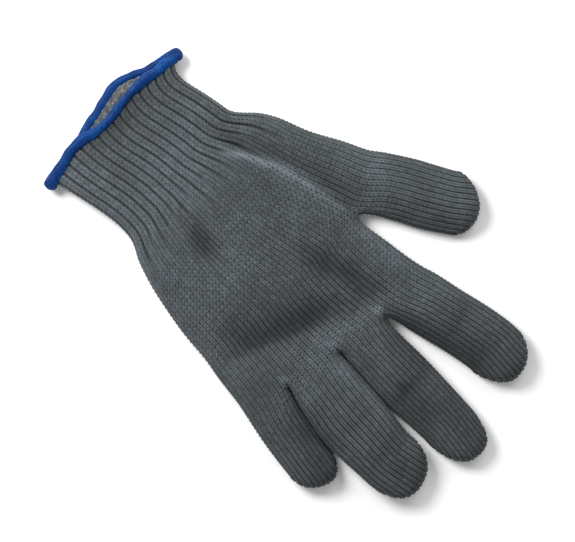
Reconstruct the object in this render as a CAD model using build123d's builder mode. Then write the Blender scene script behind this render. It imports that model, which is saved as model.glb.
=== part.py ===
from build123d import *
import math
import os

# A machine-knitted work glove lying flat: palm face up (+Z), fingers toward +Y,
# thumb at -X. Millimetres. The knit is one seamless tube of fabric; it is divided
# here only along the lines where it bends, and the cuff edge and the laid-in
# elastic are the other two real pieces.

# ---- driving dimensions ----
thickness = 11.6          # the glove lying loosely: two layers and the air between
wall = 1.8                # one layer of the knit
mid_height = thickness / 2
edge_radius = 4.6         # roll of the fabric along the sides
inner_radius = edge_radius - wall
cut_gap = 0.4             # half of the clearance at a bend line
fold_gap = 0.05           # half width of a fold band at its bend line

wrist_y = -67.0
wrist_bend = 60.0
root_bend = 75.0
knuckle_bend = 85.0
tip_bend = 55.0
thumb_root_bend = 50.0
thumb_tip_bend = 75.0

# bend lines along Y on each finger: root, knuckle, tip
index_bends = (57.0, 79.0, 98.0)
middle_bends = (57.0, 83.0, 106.0)
ring_bends = (52.0, 77.0, 97.0)
pinky_bends = (43.0, 57.5, 71.0)

# the thumb leans away from the fingers; its bend lines are measured along it
thumb_lean = 28.5
thumb_bends = (28.0, 50.0)

# ---- cuff edge ----
binding_radius = 1.9
binding_low = binding_radius
binding_high = thickness - 1.3
lip_gap = 0.8            # the knit ends just short of the edge cord
lip_left = (-28.7, -116.2)
lip_right = (52.9, -118.8)
lower_lip = ((-19.0, -119.4), (-10.5, -123.8), (-2.0, -127.6), (6.0, -127.5),
             (20.0, -123.9), (31.0, -121.6), (42.0, -120.2))
upper_lip = ((-18.0, -116.6), (-7.2, -118.4), (2.0, -118.9), (10.4, -118.2),
             (20.6, -118.6), (31.4, -120.2), (42.0, -120.0))

# ---- laid-in elastic ----
elastic_radius = 0.35
elastic_count = 7
elastic_pitch = 5.6
elastic_start_y = -76.0
elastic_clearance = 0.15

# ---- plan outlines ----
# fingers: left base, left tip corner, right tip corner, right base
index_plan = ((-33.5, 28.0), (-47.9, 112.6), (-19.8, 119.8), (-5.1, 36.0))
middle_plan = ((-6.8, 34.0), (0.0, 129.8), (29.0, 129.8), (21.2, 30.0))
ring_plan = ((21.8, 28.0), (31.0, 119.8), (61.9, 117.2), (51.0, 26.0))
pinky_plan = ((51.2, 19.0), (62.2, 86.4), (87.0, 80.8), (75.0, 18.4))
thumb_plan = ((-27.6, -6.0), (-61.2, 52.6), (-89.1, 35.2), (-54.4, -27.0))
tip_round = 12.5

# palm and cuff: both side edges from the cuff up to the fingers
left_side = ((-34.5, -136.0), (-32.8, -118.0), (-27.6, -106.0), (-27.6, -92.0), (-30.2, -78.0),
             (-35.4, -69.5), (-41.7, -60.5), (-47.4, -44.0), (-53.0, -32.0), (-58.5, -20.0))
right_side = ((58.0, -136.0), (56.9, -120.0), (52.4, -107.0), (49.6, -92.0), (49.4, -79.4),
              (51.6, -68.0), (55.8, -60.4), (60.0, -49.0), (64.2, -35.5), (67.4, -20.2),
              (69.8, -4.4), (72.7, 11.0), (74.7, 22.5), (77.2, 34.0))
finger_side = ((60.0, 36.0), (52.4, 37.2), (30.0, 43.0), (22.3, 44.4), (-1.0, 47.5),
               (-6.4, 49.0), (-36.0, 49.0), (-35.0, 37.0), (-33.4, 22.0), (-33.6, 9.0),
               (-40.0, 2.0), (-51.0, -5.0))


def digit_body(plan, shrink, z_low, z_high, radius):
    """Tapered flat finger with a rounded end and rolled edges."""
    left_base, left_tip, right_tip, right_base = plan
    with BuildPart() as body:
        with BuildSketch(Plane.XY.offset(z_low)) as outline:
            Polygon(left_base, left_tip, right_tip, right_base, align=None)
            corners = outline.vertices().filter_by(
                lambda v: min(math.dist((v.X, v.Y), left_tip), math.dist((v.X, v.Y), right_tip)) < 0.1)
            fillet(corners, tip_round)
            if shrink:
                offset(amount=-shrink, kind=Kind.ARC, mode=Mode.REPLACE)
        extrude(amount=z_high - z_low)
        flats = body.faces().group_by(Axis.Z)
        fillet(flats[0].edges() + flats[-1].edges(), radius)
    return body.part


def moved_in(points, distance):
    """The same run of points, each moved to its left by the distance."""
    result = []
    for k, point in enumerate(points):
        before, after = points[max(k - 1, 0)], points[min(k + 1, len(points) - 1)]
        run = math.hypot(after[0] - before[0], after[1] - before[1])
        result.append((point[0] - distance * (after[1] - before[1]) / run,
                       point[1] + distance * (after[0] - before[0]) / run))
    return result


def hand_body(shrink, z_low, z_high, radius):
    """Palm and cuff in one outline, longer than the cuff, with rolled side edges."""
    left_run = moved_in(left_side, -shrink)
    right_run = moved_in(right_side, shrink)
    finger_run = moved_in(finger_side, shrink)
    with BuildPart() as body:
        with BuildSketch(Plane.XY.offset(z_low)):
            with BuildLine():
                left = Spline(*left_run)
                right = Spline(*right_run)
                Polyline(right @ 1, *finger_run, left @ 1)
                Line(left @ 0, right @ 0)
            make_face()
        extrude(amount=z_high - z_low)
        flats = body.faces().group_by(Axis.Z)
        rims = flats[0].edges() + flats[-1].edges()
        fillet(rims.filter_by(lambda e: e.length > 100), radius)
    return body.part


def span_profile(start, start_angle, end, end_angle):
    """Side view of one segment: upper halves cut back by half of each bend."""
    rise = thickness + 1 - mid_height
    low, high = -1.0, thickness + 1
    back = rise * math.tan(math.radians(start_angle / 2)) if start_angle else 0
    fore = rise * math.tan(math.radians(end_angle / 2)) if end_angle else 0
    return [(start + cut_gap, low), (start + cut_gap, mid_height), (start + cut_gap + back, high),
            (end - cut_gap - fore, high), (end - cut_gap, mid_height), (end - cut_gap, low)]


def fold_profile(position, angle):
    """Side view of the wedge of knit that folds up at a bend line."""
    rise = thickness + 1 - mid_height
    reach = fold_gap + rise * math.tan(math.radians(angle / 2))
    return [(position - fold_gap, mid_height), (position + fold_gap, mid_height),
            (position + reach, thickness + 1), (position - reach, thickness + 1)]


along_fingers = Plane.YZ
along_thumb = Plane(origin=(0, 0, 0),
                    x_dir=(-math.sin(math.radians(thumb_lean)), math.cos(math.radians(thumb_lean)), 0),
                    z_dir=(math.cos(math.radians(thumb_lean)), math.sin(math.radians(thumb_lean)), 0))
FAR = 400.0

# ---- outer and inner forms of the fabric tube (not exported themselves) ----
index_outer = digit_body(index_plan, 0, 0, thickness, edge_radius)
index_inner = digit_body(index_plan, wall, wall, thickness - wall, inner_radius)
middle_outer = digit_body(middle_plan, 0, 0, thickness, edge_radius)
middle_inner = digit_body(middle_plan, wall, wall, thickness - wall, inner_radius)
ring_outer = digit_body(ring_plan, 0, 0, thickness, edge_radius)
ring_inner = digit_body(ring_plan, wall, wall, thickness - wall, inner_radius)
pinky_outer = digit_body(pinky_plan, 0, 0, thickness, edge_radius)
pinky_inner = digit_body(pinky_plan, wall, wall, thickness - wall, inner_radius)
thumb_outer = digit_body(thumb_plan, 0, 0, thickness, edge_radius)
thumb_inner = digit_body(thumb_plan, wall, wall, thickness - wall, inner_radius)
hand_outer = hand_body(0, 0, thickness, edge_radius)
hand_inner = hand_body(wall, wall, thickness - wall, inner_radius)
hollows = [hand_inner, index_inner, middle_inner, ring_inner, pinky_inner, thumb_inner]

# ---- start of each digit, up to its first bend line; these belong to the palm ----
with BuildPart() as index_stub:
    add(index_outer)
    with BuildSketch(along_fingers):
        Polygon(*span_profile(-FAR, 0, index_bends[0], root_bend), align=None)
    extrude(amount=FAR, both=True, mode=Mode.INTERSECT)

with BuildPart() as middle_stub:
    add(middle_outer)
    with BuildSketch(along_fingers):
        Polygon(*span_profile(-FAR, 0, middle_bends[0], root_bend), align=None)
    extrude(amount=FAR, both=True, mode=Mode.INTERSECT)

with BuildPart() as ring_stub:
    add(ring_outer)
    with BuildSketch(along_fingers):
        Polygon(*span_profile(-FAR, 0, ring_bends[0], root_bend), align=None)
    extrude(amount=FAR, both=True, mode=Mode.INTERSECT)

with BuildPart() as pinky_stub:
    add(pinky_outer)
    with BuildSketch(along_fingers):
        Polygon(*span_profile(-FAR, 0, pinky_bends[0], root_bend), align=None)
    extrude(amount=FAR, both=True, mode=Mode.INTERSECT)

with BuildPart() as thumb_stub:
    add(thumb_outer)
    with BuildSketch(along_thumb):
        Polygon(*span_profile(-FAR, 0, thumb_bends[0], thumb_root_bend), align=None)
    extrude(amount=FAR, both=True, mode=Mode.INTERSECT)

# ---- palm, with the thumb gusset and the five openings into the digits ----
with BuildPart() as palm_knit:
    add(hand_outer)
    with BuildSketch(along_fingers):
        Polygon(*span_profile(wrist_y, wrist_bend, FAR, 0), align=None)
    extrude(amount=FAR, both=True, mode=Mode.INTERSECT)
    add([index_stub.part, middle_stub.part, ring_stub.part, pinky_stub.part, thumb_stub.part])
    add(hollows, mode=Mode.SUBTRACT)
palm_knit.part.label = "palm_knit"

# ---- cuff: ribbed tube from the wrist to the mouth ----
with BuildPart() as cuff_rib:
    add(hand_outer)
    with BuildSketch(along_fingers):
        Polygon(*span_profile(-FAR, 0, wrist_y, wrist_bend), align=None)
    extrude(amount=FAR, both=True, mode=Mode.INTERSECT)
    add(hand_inner, mode=Mode.SUBTRACT)
    with BuildSketch(Plane.XY.offset(-1)):
        with Locations((0, binding_radius + lip_gap)):
            Polygon((-60, lip_left[1]), lip_left, *lower_lip, lip_right, (80, lip_right[1]),
                    (80, -150), (-60, -150), align=None)
    extrude(amount=mid_height + 1, mode=Mode.SUBTRACT)
    with BuildSketch(Plane.XY.offset(mid_height)):
        with Locations((0, binding_radius + lip_gap)):
            Polygon((-60, lip_left[1]), lip_left, *upper_lip, lip_right, (80, lip_right[1]),
                    (80, -150), (-60, -150), align=None)
    extrude(amount=mid_height + 1, mode=Mode.SUBTRACT)
cuff_rib.part.label = "cuff_rib"

# ---- cuff edge: overlocked cord running once round the mouth ----
turn_radius = (binding_high - binding_low) / 2
turn_height = (binding_high + binding_low) / 2
with BuildPart() as cuff_binding:
    with BuildLine() as lip_line:
        lower = Spline((*lip_left, binding_low), *[(x, y, binding_low) for x, y in lower_lip],
                       (*lip_right, binding_low), tangents=((1, 0, 0), (1, 0, 0)))
        ThreePointArc(lower @ 1, (lip_right[0] + turn_radius, lip_right[1], turn_height),
                      (*lip_right, binding_high))
        upper = Spline((*lip_right, binding_high), *[(x, y, binding_high) for x, y in reversed(upper_lip)],
                       (*lip_left, binding_high), tangents=((-1, 0, 0), (-1, 0, 0)))
        ThreePointArc(upper @ 1, (lip_left[0] - turn_radius, lip_left[1], turn_height),
                      (*lip_left, binding_low))
    with BuildSketch(Plane(origin=(*lip_left, binding_low), z_dir=(1, 0, 0))):
        Circle(binding_radius)
    sweep(path=lip_line.wire())
cuff_binding.part.label = "cuff_binding"

# ---- elastic yarn laid in behind the rib, carried from course to course ----
with BuildPart() as cuff_elastic_yarns:
    inset = wall + elastic_clearance + elastic_radius
    for k in range(elastic_count):
        y = elastic_start_y - k * elastic_pitch
        section = hand_inner.intersect(Plane.XZ.offset(-y))[0].bounding_box()
        half_width = (section.max.X - section.min.X) / 2 - elastic_clearance - elastic_radius
        half_height = thickness / 2 - inset
        middle_x = (section.max.X + section.min.X) / 2
        with BuildLine(Plane(origin=(middle_x, y, mid_height), x_dir=(1, 0, 0), z_dir=(0, -1, 0))) as loop:
            FilletPolyline((-half_width, -half_height), (half_width, -half_height),
                           (half_width, half_height), (-half_width, half_height),
                           radius=inner_radius - elastic_clearance - elastic_radius, close=True)
        with BuildSketch(Plane(origin=loop.line @ 0, z_dir=loop.line % 0)):
            Circle(elastic_radius)
        sweep(path=loop.line)
    with BuildSketch(Plane.XZ.offset(-elastic_start_y)):
        with Locations((12.0, inset)):
            Circle(elastic_radius * 1.3)
    extrude(amount=(elastic_count - 1) * elastic_pitch)
cuff_elastic_yarns.part.label = "cuff_elastic_yarns"

# ---- index finger ----
with BuildPart() as index_proximal_tube:
    add(index_outer)
    with BuildSketch(along_fingers):
        Polygon(*span_profile(index_bends[0], root_bend, index_bends[1], knuckle_bend), align=None)
    extrude(amount=FAR, both=True, mode=Mode.INTERSECT)
    add(index_inner, mode=Mode.SUBTRACT)
index_proximal_tube.part.label = "index_proximal_tube"

with BuildPart() as index_middle_tube:
    add(index_outer)
    with BuildSketch(along_fingers):
        Polygon(*span_profile(index_bends[1], knuckle_bend, index_bends[2], tip_bend), align=None)
    extrude(amount=FAR, both=True, mode=Mode.INTERSECT)
    add(index_inner, mode=Mode.SUBTRACT)
index_middle_tube.part.label = "index_middle_tube"

with BuildPart() as index_fingertip:
    add(index_outer)
    with BuildSketch(along_fingers):
        Polygon(*span_profile(index_bends[2], tip_bend, FAR, 0), align=None)
    extrude(amount=FAR, both=True, mode=Mode.INTERSECT)
    add(index_inner, mode=Mode.SUBTRACT)
index_fingertip.part.label = "index_fingertip"

# ---- middle finger ----
with BuildPart() as middle_proximal_tube:
    add(middle_outer)
    with BuildSketch(along_fingers):
        Polygon(*span_profile(middle_bends[0], root_bend, middle_bends[1], knuckle_bend), align=None)
    extrude(amount=FAR, both=True, mode=Mode.INTERSECT)
    add(middle_inner, mode=Mode.SUBTRACT)
middle_proximal_tube.part.label = "middle_proximal_tube"

with BuildPart() as middle_middle_tube:
    add(middle_outer)
    with BuildSketch(along_fingers):
        Polygon(*span_profile(middle_bends[1], knuckle_bend, middle_bends[2], tip_bend), align=None)
    extrude(amount=FAR, both=True, mode=Mode.INTERSECT)
    add(middle_inner, mode=Mode.SUBTRACT)
middle_middle_tube.part.label = "middle_middle_tube"

with BuildPart() as middle_fingertip:
    add(middle_outer)
    with BuildSketch(along_fingers):
        Polygon(*span_profile(middle_bends[2], tip_bend, FAR, 0), align=None)
    extrude(amount=FAR, both=True, mode=Mode.INTERSECT)
    add(middle_inner, mode=Mode.SUBTRACT)
middle_fingertip.part.label = "middle_fingertip"

# ---- ring finger ----
with BuildPart() as ring_proximal_tube:
    add(ring_outer)
    with BuildSketch(along_fingers):
        Polygon(*span_profile(ring_bends[0], root_bend, ring_bends[1], knuckle_bend), align=None)
    extrude(amount=FAR, both=True, mode=Mode.INTERSECT)
    add(ring_inner, mode=Mode.SUBTRACT)
ring_proximal_tube.part.label = "ring_proximal_tube"

with BuildPart() as ring_middle_tube:
    add(ring_outer)
    with BuildSketch(along_fingers):
        Polygon(*span_profile(ring_bends[1], knuckle_bend, ring_bends[2], tip_bend), align=None)
    extrude(amount=FAR, both=True, mode=Mode.INTERSECT)
    add(ring_inner, mode=Mode.SUBTRACT)
ring_middle_tube.part.label = "ring_middle_tube"

with BuildPart() as ring_fingertip:
    add(ring_outer)
    with BuildSketch(along_fingers):
        Polygon(*span_profile(ring_bends[2], tip_bend, FAR, 0), align=None)
    extrude(amount=FAR, both=True, mode=Mode.INTERSECT)
    add(ring_inner, mode=Mode.SUBTRACT)
ring_fingertip.part.label = "ring_fingertip"

# ---- little finger ----
with BuildPart() as pinky_proximal_tube:
    add(pinky_outer)
    with BuildSketch(along_fingers):
        Polygon(*span_profile(pinky_bends[0], root_bend, pinky_bends[1], knuckle_bend), align=None)
    extrude(amount=FAR, both=True, mode=Mode.INTERSECT)
    add(pinky_inner, mode=Mode.SUBTRACT)
pinky_proximal_tube.part.label = "pinky_proximal_tube"

with BuildPart() as pinky_middle_tube:
    add(pinky_outer)
    with BuildSketch(along_fingers):
        Polygon(*span_profile(pinky_bends[1], knuckle_bend, pinky_bends[2], tip_bend), align=None)
    extrude(amount=FAR, both=True, mode=Mode.INTERSECT)
    add(pinky_inner, mode=Mode.SUBTRACT)
pinky_middle_tube.part.label = "pinky_middle_tube"

with BuildPart() as pinky_fingertip:
    add(pinky_outer)
    with BuildSketch(along_fingers):
        Polygon(*span_profile(pinky_bends[2], tip_bend, FAR, 0), align=None)
    extrude(amount=FAR, both=True, mode=Mode.INTERSECT)
    add(pinky_inner, mode=Mode.SUBTRACT)
pinky_fingertip.part.label = "pinky_fingertip"

# ---- thumb ----
with BuildPart() as thumb_tube:
    add(thumb_outer)
    with BuildSketch(along_thumb):
        Polygon(*span_profile(thumb_bends[0], thumb_root_bend, thumb_bends[1], thumb_tip_bend), align=None)
    extrude(amount=FAR, both=True, mode=Mode.INTERSECT)
    add(thumb_inner, mode=Mode.SUBTRACT)
thumb_tube.part.label = "thumb_tube"

with BuildPart() as thumb_tip:
    add(thumb_outer)
    with BuildSketch(along_thumb):
        Polygon(*span_profile(thumb_bends[1], thumb_tip_bend, FAR, 0), align=None)
    extrude(amount=FAR, both=True, mode=Mode.INTERSECT)
    add(thumb_inner, mode=Mode.SUBTRACT)
thumb_tip.part.label = "thumb_tip"

# ---- folds: the knit across the palm side of each bend line ----
with BuildPart() as wrist_fold:
    add(hand_outer)
    with BuildSketch(along_fingers):
        Polygon(*fold_profile(wrist_y, wrist_bend), align=None)
    extrude(amount=FAR, both=True, mode=Mode.INTERSECT)
    add(hand_inner, mode=Mode.SUBTRACT)
wrist_fold.part.label = "wrist_fold"

with BuildPart() as index_root_fold:
    add(index_outer)
    with BuildSketch(along_fingers):
        Polygon(*fold_profile(index_bends[0], root_bend), align=None)
    extrude(amount=FAR, both=True, mode=Mode.INTERSECT)
    add(index_inner, mode=Mode.SUBTRACT)
index_root_fold.part.label = "index_root_fold"

with BuildPart() as index_knuckle_fold:
    add(index_outer)
    with BuildSketch(along_fingers):
        Polygon(*fold_profile(index_bends[1], knuckle_bend), align=None)
    extrude(amount=FAR, both=True, mode=Mode.INTERSECT)
    add(index_inner, mode=Mode.SUBTRACT)
index_knuckle_fold.part.label = "index_knuckle_fold"

with BuildPart() as index_tip_fold:
    add(index_outer)
    with BuildSketch(along_fingers):
        Polygon(*fold_profile(index_bends[2], tip_bend), align=None)
    extrude(amount=FAR, both=True, mode=Mode.INTERSECT)
    add(index_inner, mode=Mode.SUBTRACT)
index_tip_fold.part.label = "index_tip_fold"

with BuildPart() as middle_root_fold:
    add(middle_outer)
    with BuildSketch(along_fingers):
        Polygon(*fold_profile(middle_bends[0], root_bend), align=None)
    extrude(amount=FAR, both=True, mode=Mode.INTERSECT)
    add(middle_inner, mode=Mode.SUBTRACT)
middle_root_fold.part.label = "middle_root_fold"

with BuildPart() as middle_knuckle_fold:
    add(middle_outer)
    with BuildSketch(along_fingers):
        Polygon(*fold_profile(middle_bends[1], knuckle_bend), align=None)
    extrude(amount=FAR, both=True, mode=Mode.INTERSECT)
    add(middle_inner, mode=Mode.SUBTRACT)
middle_knuckle_fold.part.label = "middle_knuckle_fold"

with BuildPart() as middle_tip_fold:
    add(middle_outer)
    with BuildSketch(along_fingers):
        Polygon(*fold_profile(middle_bends[2], tip_bend), align=None)
    extrude(amount=FAR, both=True, mode=Mode.INTERSECT)
    add(middle_inner, mode=Mode.SUBTRACT)
middle_tip_fold.part.label = "middle_tip_fold"

with BuildPart() as ring_root_fold:
    add(ring_outer)
    with BuildSketch(along_fingers):
        Polygon(*fold_profile(ring_bends[0], root_bend), align=None)
    extrude(amount=FAR, both=True, mode=Mode.INTERSECT)
    add(ring_inner, mode=Mode.SUBTRACT)
ring_root_fold.part.label = "ring_root_fold"

with BuildPart() as ring_knuckle_fold:
    add(ring_outer)
    with BuildSketch(along_fingers):
        Polygon(*fold_profile(ring_bends[1], knuckle_bend), align=None)
    extrude(amount=FAR, both=True, mode=Mode.INTERSECT)
    add(ring_inner, mode=Mode.SUBTRACT)
ring_knuckle_fold.part.label = "ring_knuckle_fold"

with BuildPart() as ring_tip_fold:
    add(ring_outer)
    with BuildSketch(along_fingers):
        Polygon(*fold_profile(ring_bends[2], tip_bend), align=None)
    extrude(amount=FAR, both=True, mode=Mode.INTERSECT)
    add(ring_inner, mode=Mode.SUBTRACT)
ring_tip_fold.part.label = "ring_tip_fold"

with BuildPart() as pinky_root_fold:
    add(pinky_outer)
    with BuildSketch(along_fingers):
        Polygon(*fold_profile(pinky_bends[0], root_bend), align=None)
    extrude(amount=FAR, both=True, mode=Mode.INTERSECT)
    add(pinky_inner, mode=Mode.SUBTRACT)
pinky_root_fold.part.label = "pinky_root_fold"

with BuildPart() as pinky_knuckle_fold:
    add(pinky_outer)
    with BuildSketch(along_fingers):
        Polygon(*fold_profile(pinky_bends[1], knuckle_bend), align=None)
    extrude(amount=FAR, both=True, mode=Mode.INTERSECT)
    add(pinky_inner, mode=Mode.SUBTRACT)
pinky_knuckle_fold.part.label = "pinky_knuckle_fold"

with BuildPart() as pinky_tip_fold:
    add(pinky_outer)
    with BuildSketch(along_fingers):
        Polygon(*fold_profile(pinky_bends[2], tip_bend), align=None)
    extrude(amount=FAR, both=True, mode=Mode.INTERSECT)
    add(pinky_inner, mode=Mode.SUBTRACT)
pinky_tip_fold.part.label = "pinky_tip_fold"

with BuildPart() as thumb_root_fold:
    add(thumb_outer)
    with BuildSketch(along_thumb):
        Polygon(*fold_profile(thumb_bends[0], thumb_root_bend), align=None)
    extrude(amount=FAR, both=True, mode=Mode.INTERSECT)
    add(thumb_inner, mode=Mode.SUBTRACT)
thumb_root_fold.part.label = "thumb_root_fold"

with BuildPart() as thumb_tip_fold:
    add(thumb_outer)
    with BuildSketch(along_thumb):
        Polygon(*fold_profile(thumb_bends[1], thumb_tip_bend), align=None)
    extrude(amount=FAR, both=True, mode=Mode.INTERSECT)
    add(thumb_inner, mode=Mode.SUBTRACT)
thumb_tip_fold.part.label = "thumb_tip_fold"

# ---- export ----
os.makedirs("parts", exist_ok=True)
export_step(palm_knit.part, "parts/palm_knit.step")
export_step(cuff_rib.part, "parts/cuff_rib.step")
export_step(cuff_binding.part, "parts/cuff_binding.step")
export_step(cuff_elastic_yarns.part, "parts/cuff_elastic_yarns.step")
export_step(index_proximal_tube.part, "parts/index_proximal_tube.step")
export_step(index_middle_tube.part, "parts/index_middle_tube.step")
export_step(index_fingertip.part, "parts/index_fingertip.step")
export_step(middle_proximal_tube.part, "parts/middle_proximal_tube.step")
export_step(middle_middle_tube.part, "parts/middle_middle_tube.step")
export_step(middle_fingertip.part, "parts/middle_fingertip.step")
export_step(ring_proximal_tube.part, "parts/ring_proximal_tube.step")
export_step(ring_middle_tube.part, "parts/ring_middle_tube.step")
export_step(ring_fingertip.part, "parts/ring_fingertip.step")
export_step(pinky_proximal_tube.part, "parts/pinky_proximal_tube.step")
export_step(pinky_middle_tube.part, "parts/pinky_middle_tube.step")
export_step(pinky_fingertip.part, "parts/pinky_fingertip.step")
export_step(thumb_tube.part, "parts/thumb_tube.step")
export_step(thumb_tip.part, "parts/thumb_tip.step")
export_step(wrist_fold.part, "parts/wrist_fold.step")
export_step(index_root_fold.part, "parts/index_root_fold.step")
export_step(index_knuckle_fold.part, "parts/index_knuckle_fold.step")
export_step(index_tip_fold.part, "parts/index_tip_fold.step")
export_step(middle_root_fold.part, "parts/middle_root_fold.step")
export_step(middle_knuckle_fold.part, "parts/middle_knuckle_fold.step")
export_step(middle_tip_fold.part, "parts/middle_tip_fold.step")
export_step(ring_root_fold.part, "parts/ring_root_fold.step")
export_step(ring_knuckle_fold.part, "parts/ring_knuckle_fold.step")
export_step(ring_tip_fold.part, "parts/ring_tip_fold.step")
export_step(pinky_root_fold.part, "parts/pinky_root_fold.step")
export_step(pinky_knuckle_fold.part, "parts/pinky_knuckle_fold.step")
export_step(pinky_tip_fold.part, "parts/pinky_tip_fold.step")
export_step(thumb_root_fold.part, "parts/thumb_root_fold.step")
export_step(thumb_tip_fold.part, "parts/thumb_tip_fold.step")
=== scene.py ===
import bpy
import math
import numpy as np
from mathutils import Matrix, Vector


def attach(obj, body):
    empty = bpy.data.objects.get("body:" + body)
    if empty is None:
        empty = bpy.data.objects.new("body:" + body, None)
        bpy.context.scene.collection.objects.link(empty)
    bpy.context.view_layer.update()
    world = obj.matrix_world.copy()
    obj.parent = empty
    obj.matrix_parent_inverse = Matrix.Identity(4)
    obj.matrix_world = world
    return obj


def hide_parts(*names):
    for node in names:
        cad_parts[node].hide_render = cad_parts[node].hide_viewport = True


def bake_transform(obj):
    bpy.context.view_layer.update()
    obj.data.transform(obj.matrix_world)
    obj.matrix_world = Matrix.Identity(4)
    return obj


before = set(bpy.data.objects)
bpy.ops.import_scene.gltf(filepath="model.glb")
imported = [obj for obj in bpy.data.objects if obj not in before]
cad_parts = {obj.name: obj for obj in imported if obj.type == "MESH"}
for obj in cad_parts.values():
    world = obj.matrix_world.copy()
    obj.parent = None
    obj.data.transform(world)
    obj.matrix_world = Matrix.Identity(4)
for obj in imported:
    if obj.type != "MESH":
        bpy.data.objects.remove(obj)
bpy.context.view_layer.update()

# Everything below is worked out in millimetres and written to Blender in metres.
MM = 0.001
MID = 5.6            # height of the middle of the glove's thickness
HALF = 5.2           # half thickness of the knit where it lies flat
ROLL = 8.5           # how far in from the side edge the roll reaches
SEAM = 3.9           # half height of the short seam in each crotch
LEVELS = 2


# ------------------------------------------------------------------ small maths
def smooth(x, lo=0.0, hi=1.0):
    t = np.clip((np.asarray(x, float) - lo) / (hi - lo), 0, 1)
    return t * t * (3 - 2 * t)


class Line:
    """A smooth curve through points, read by its share of the length."""

    def __init__(self, points, tension=0.5):
        p = np.array(points, float)
        ends = np.vstack([2 * p[0] - p[1], p, 2 * p[-1] - p[-2]])
        out = []
        for k in range(len(p) - 1):
            a, b, c, d = ends[k:k + 4]
            t = np.linspace(0, 1, 24, endpoint=False)[:, None]
            out.append(0.5 * ((2 * b) + (c - a) * t + (2 * a - 5 * b + 4 * c - d) * t ** 2
                              + (3 * b - a - 3 * c + d) * t ** 3))
        out.append(p[-1:])
        self.p = np.vstack(out)
        step = np.linalg.norm(np.diff(self.p, axis=0), axis=1)
        self.s = np.concatenate([[0], np.cumsum(step)])
        self.length = self.s[-1]

    def at(self, t):
        s = np.clip(np.asarray(t, float), 0, 1) * self.length
        return np.stack([np.interp(s, self.s, self.p[:, k]) for k in range(self.p.shape[1])], -1)


def half_ring(width, n, roll=ROLL, height=HALF):
    """The upper half of a flattened tube, n + 1 points evenly spaced along the cloth."""
    roll = min(roll, width * 0.72)
    th = np.linspace(math.pi, math.pi / 2, 60)
    left = np.stack([-(width - roll) + roll * np.cos(th), height * np.sin(th)], 1)
    right = left[::-1] * [-1, 1]
    line = np.vstack([left, right])
    step = np.linalg.norm(np.diff(line, axis=0), axis=1)
    s = np.concatenate([[0], np.cumsum(step)])
    t = np.linspace(0, s[-1], n + 1)
    return np.interp(t, s, line[:, 0]), np.interp(t, s, line[:, 1])


# ------------------------------------------------------------------ outlines
CROTCH_THUMB = np.array([-34.0, 4.5])
CROTCH = [np.array([-6.3, 48.9]), np.array([22.2, 43.2]), np.array([52.1, 36.2])]
PALM_LEFT_TOP = np.array([-38.0, 49.8])
PALM_RIGHT_TOP = np.array([77.4, 31.4])

hand_left = Line([(-30.5, -116.5), (-26.2, -110.5), (-25.2, -104), (-26.3, -97), (-27.4, -91.3), (-28.5, -83.5),
                  (-29.6, -76.5), (-33.4, -71.2), (-38.0, -66.2), (-41.4, -60.7), (-44.2, -54.3),
                  (-47.6, -43.9), (-51.6, -34.9), (-56.7, -24.8), (-60.3, -16), (-62.5, -11.5)])
hand_right = Line([(55.3, -118.3), (53.2, -107.1), (51.5, -98.2), (50.1, -89.7), (49.4, -79.4),
                   (50.5, -70.2), (53.4, -64.4), (56.1, -60.0), (60.4, -49), (64.3, -35.5),
                   (67.7, -20.2), (69.9, -4.4), (71.8, 4.0)])
palm_left = Line([CROTCH_THUMB, (-32.5, 8.1), (-33.0, 14.1), (-33.8, 20.2), (-34.6, 26.2), (-35.1, 32.6),
                  (-35.8, 38.6), (-36.7, 44.6), PALM_LEFT_TOP])
palm_right = Line([(71.8, 4.0), (73.3, 11.4), (75.2, 22.5), PALM_RIGHT_TOP])

upper_lip = Line([(-32.5, -116.0), (-29.5, -115.4), (-18, -116.6), (-7.2, -118.9), (1.9, -119.3),
                  (10.4, -118.2), (20.6, -118.6), (32.4, -121.2), (43, -120.6), (54, -118.0), (57.3, -117.6)])
lower_lip = Line([(-32.5, -116.6), (-27.8, -117.8), (-18.4, -119.9), (-10, -124.3), (-3, -127.0),
                  (5, -126.9), (20, -124.3), (30, -122.2), (43, -120.6), (54, -118.8), (57.3, -118.0)])

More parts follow.
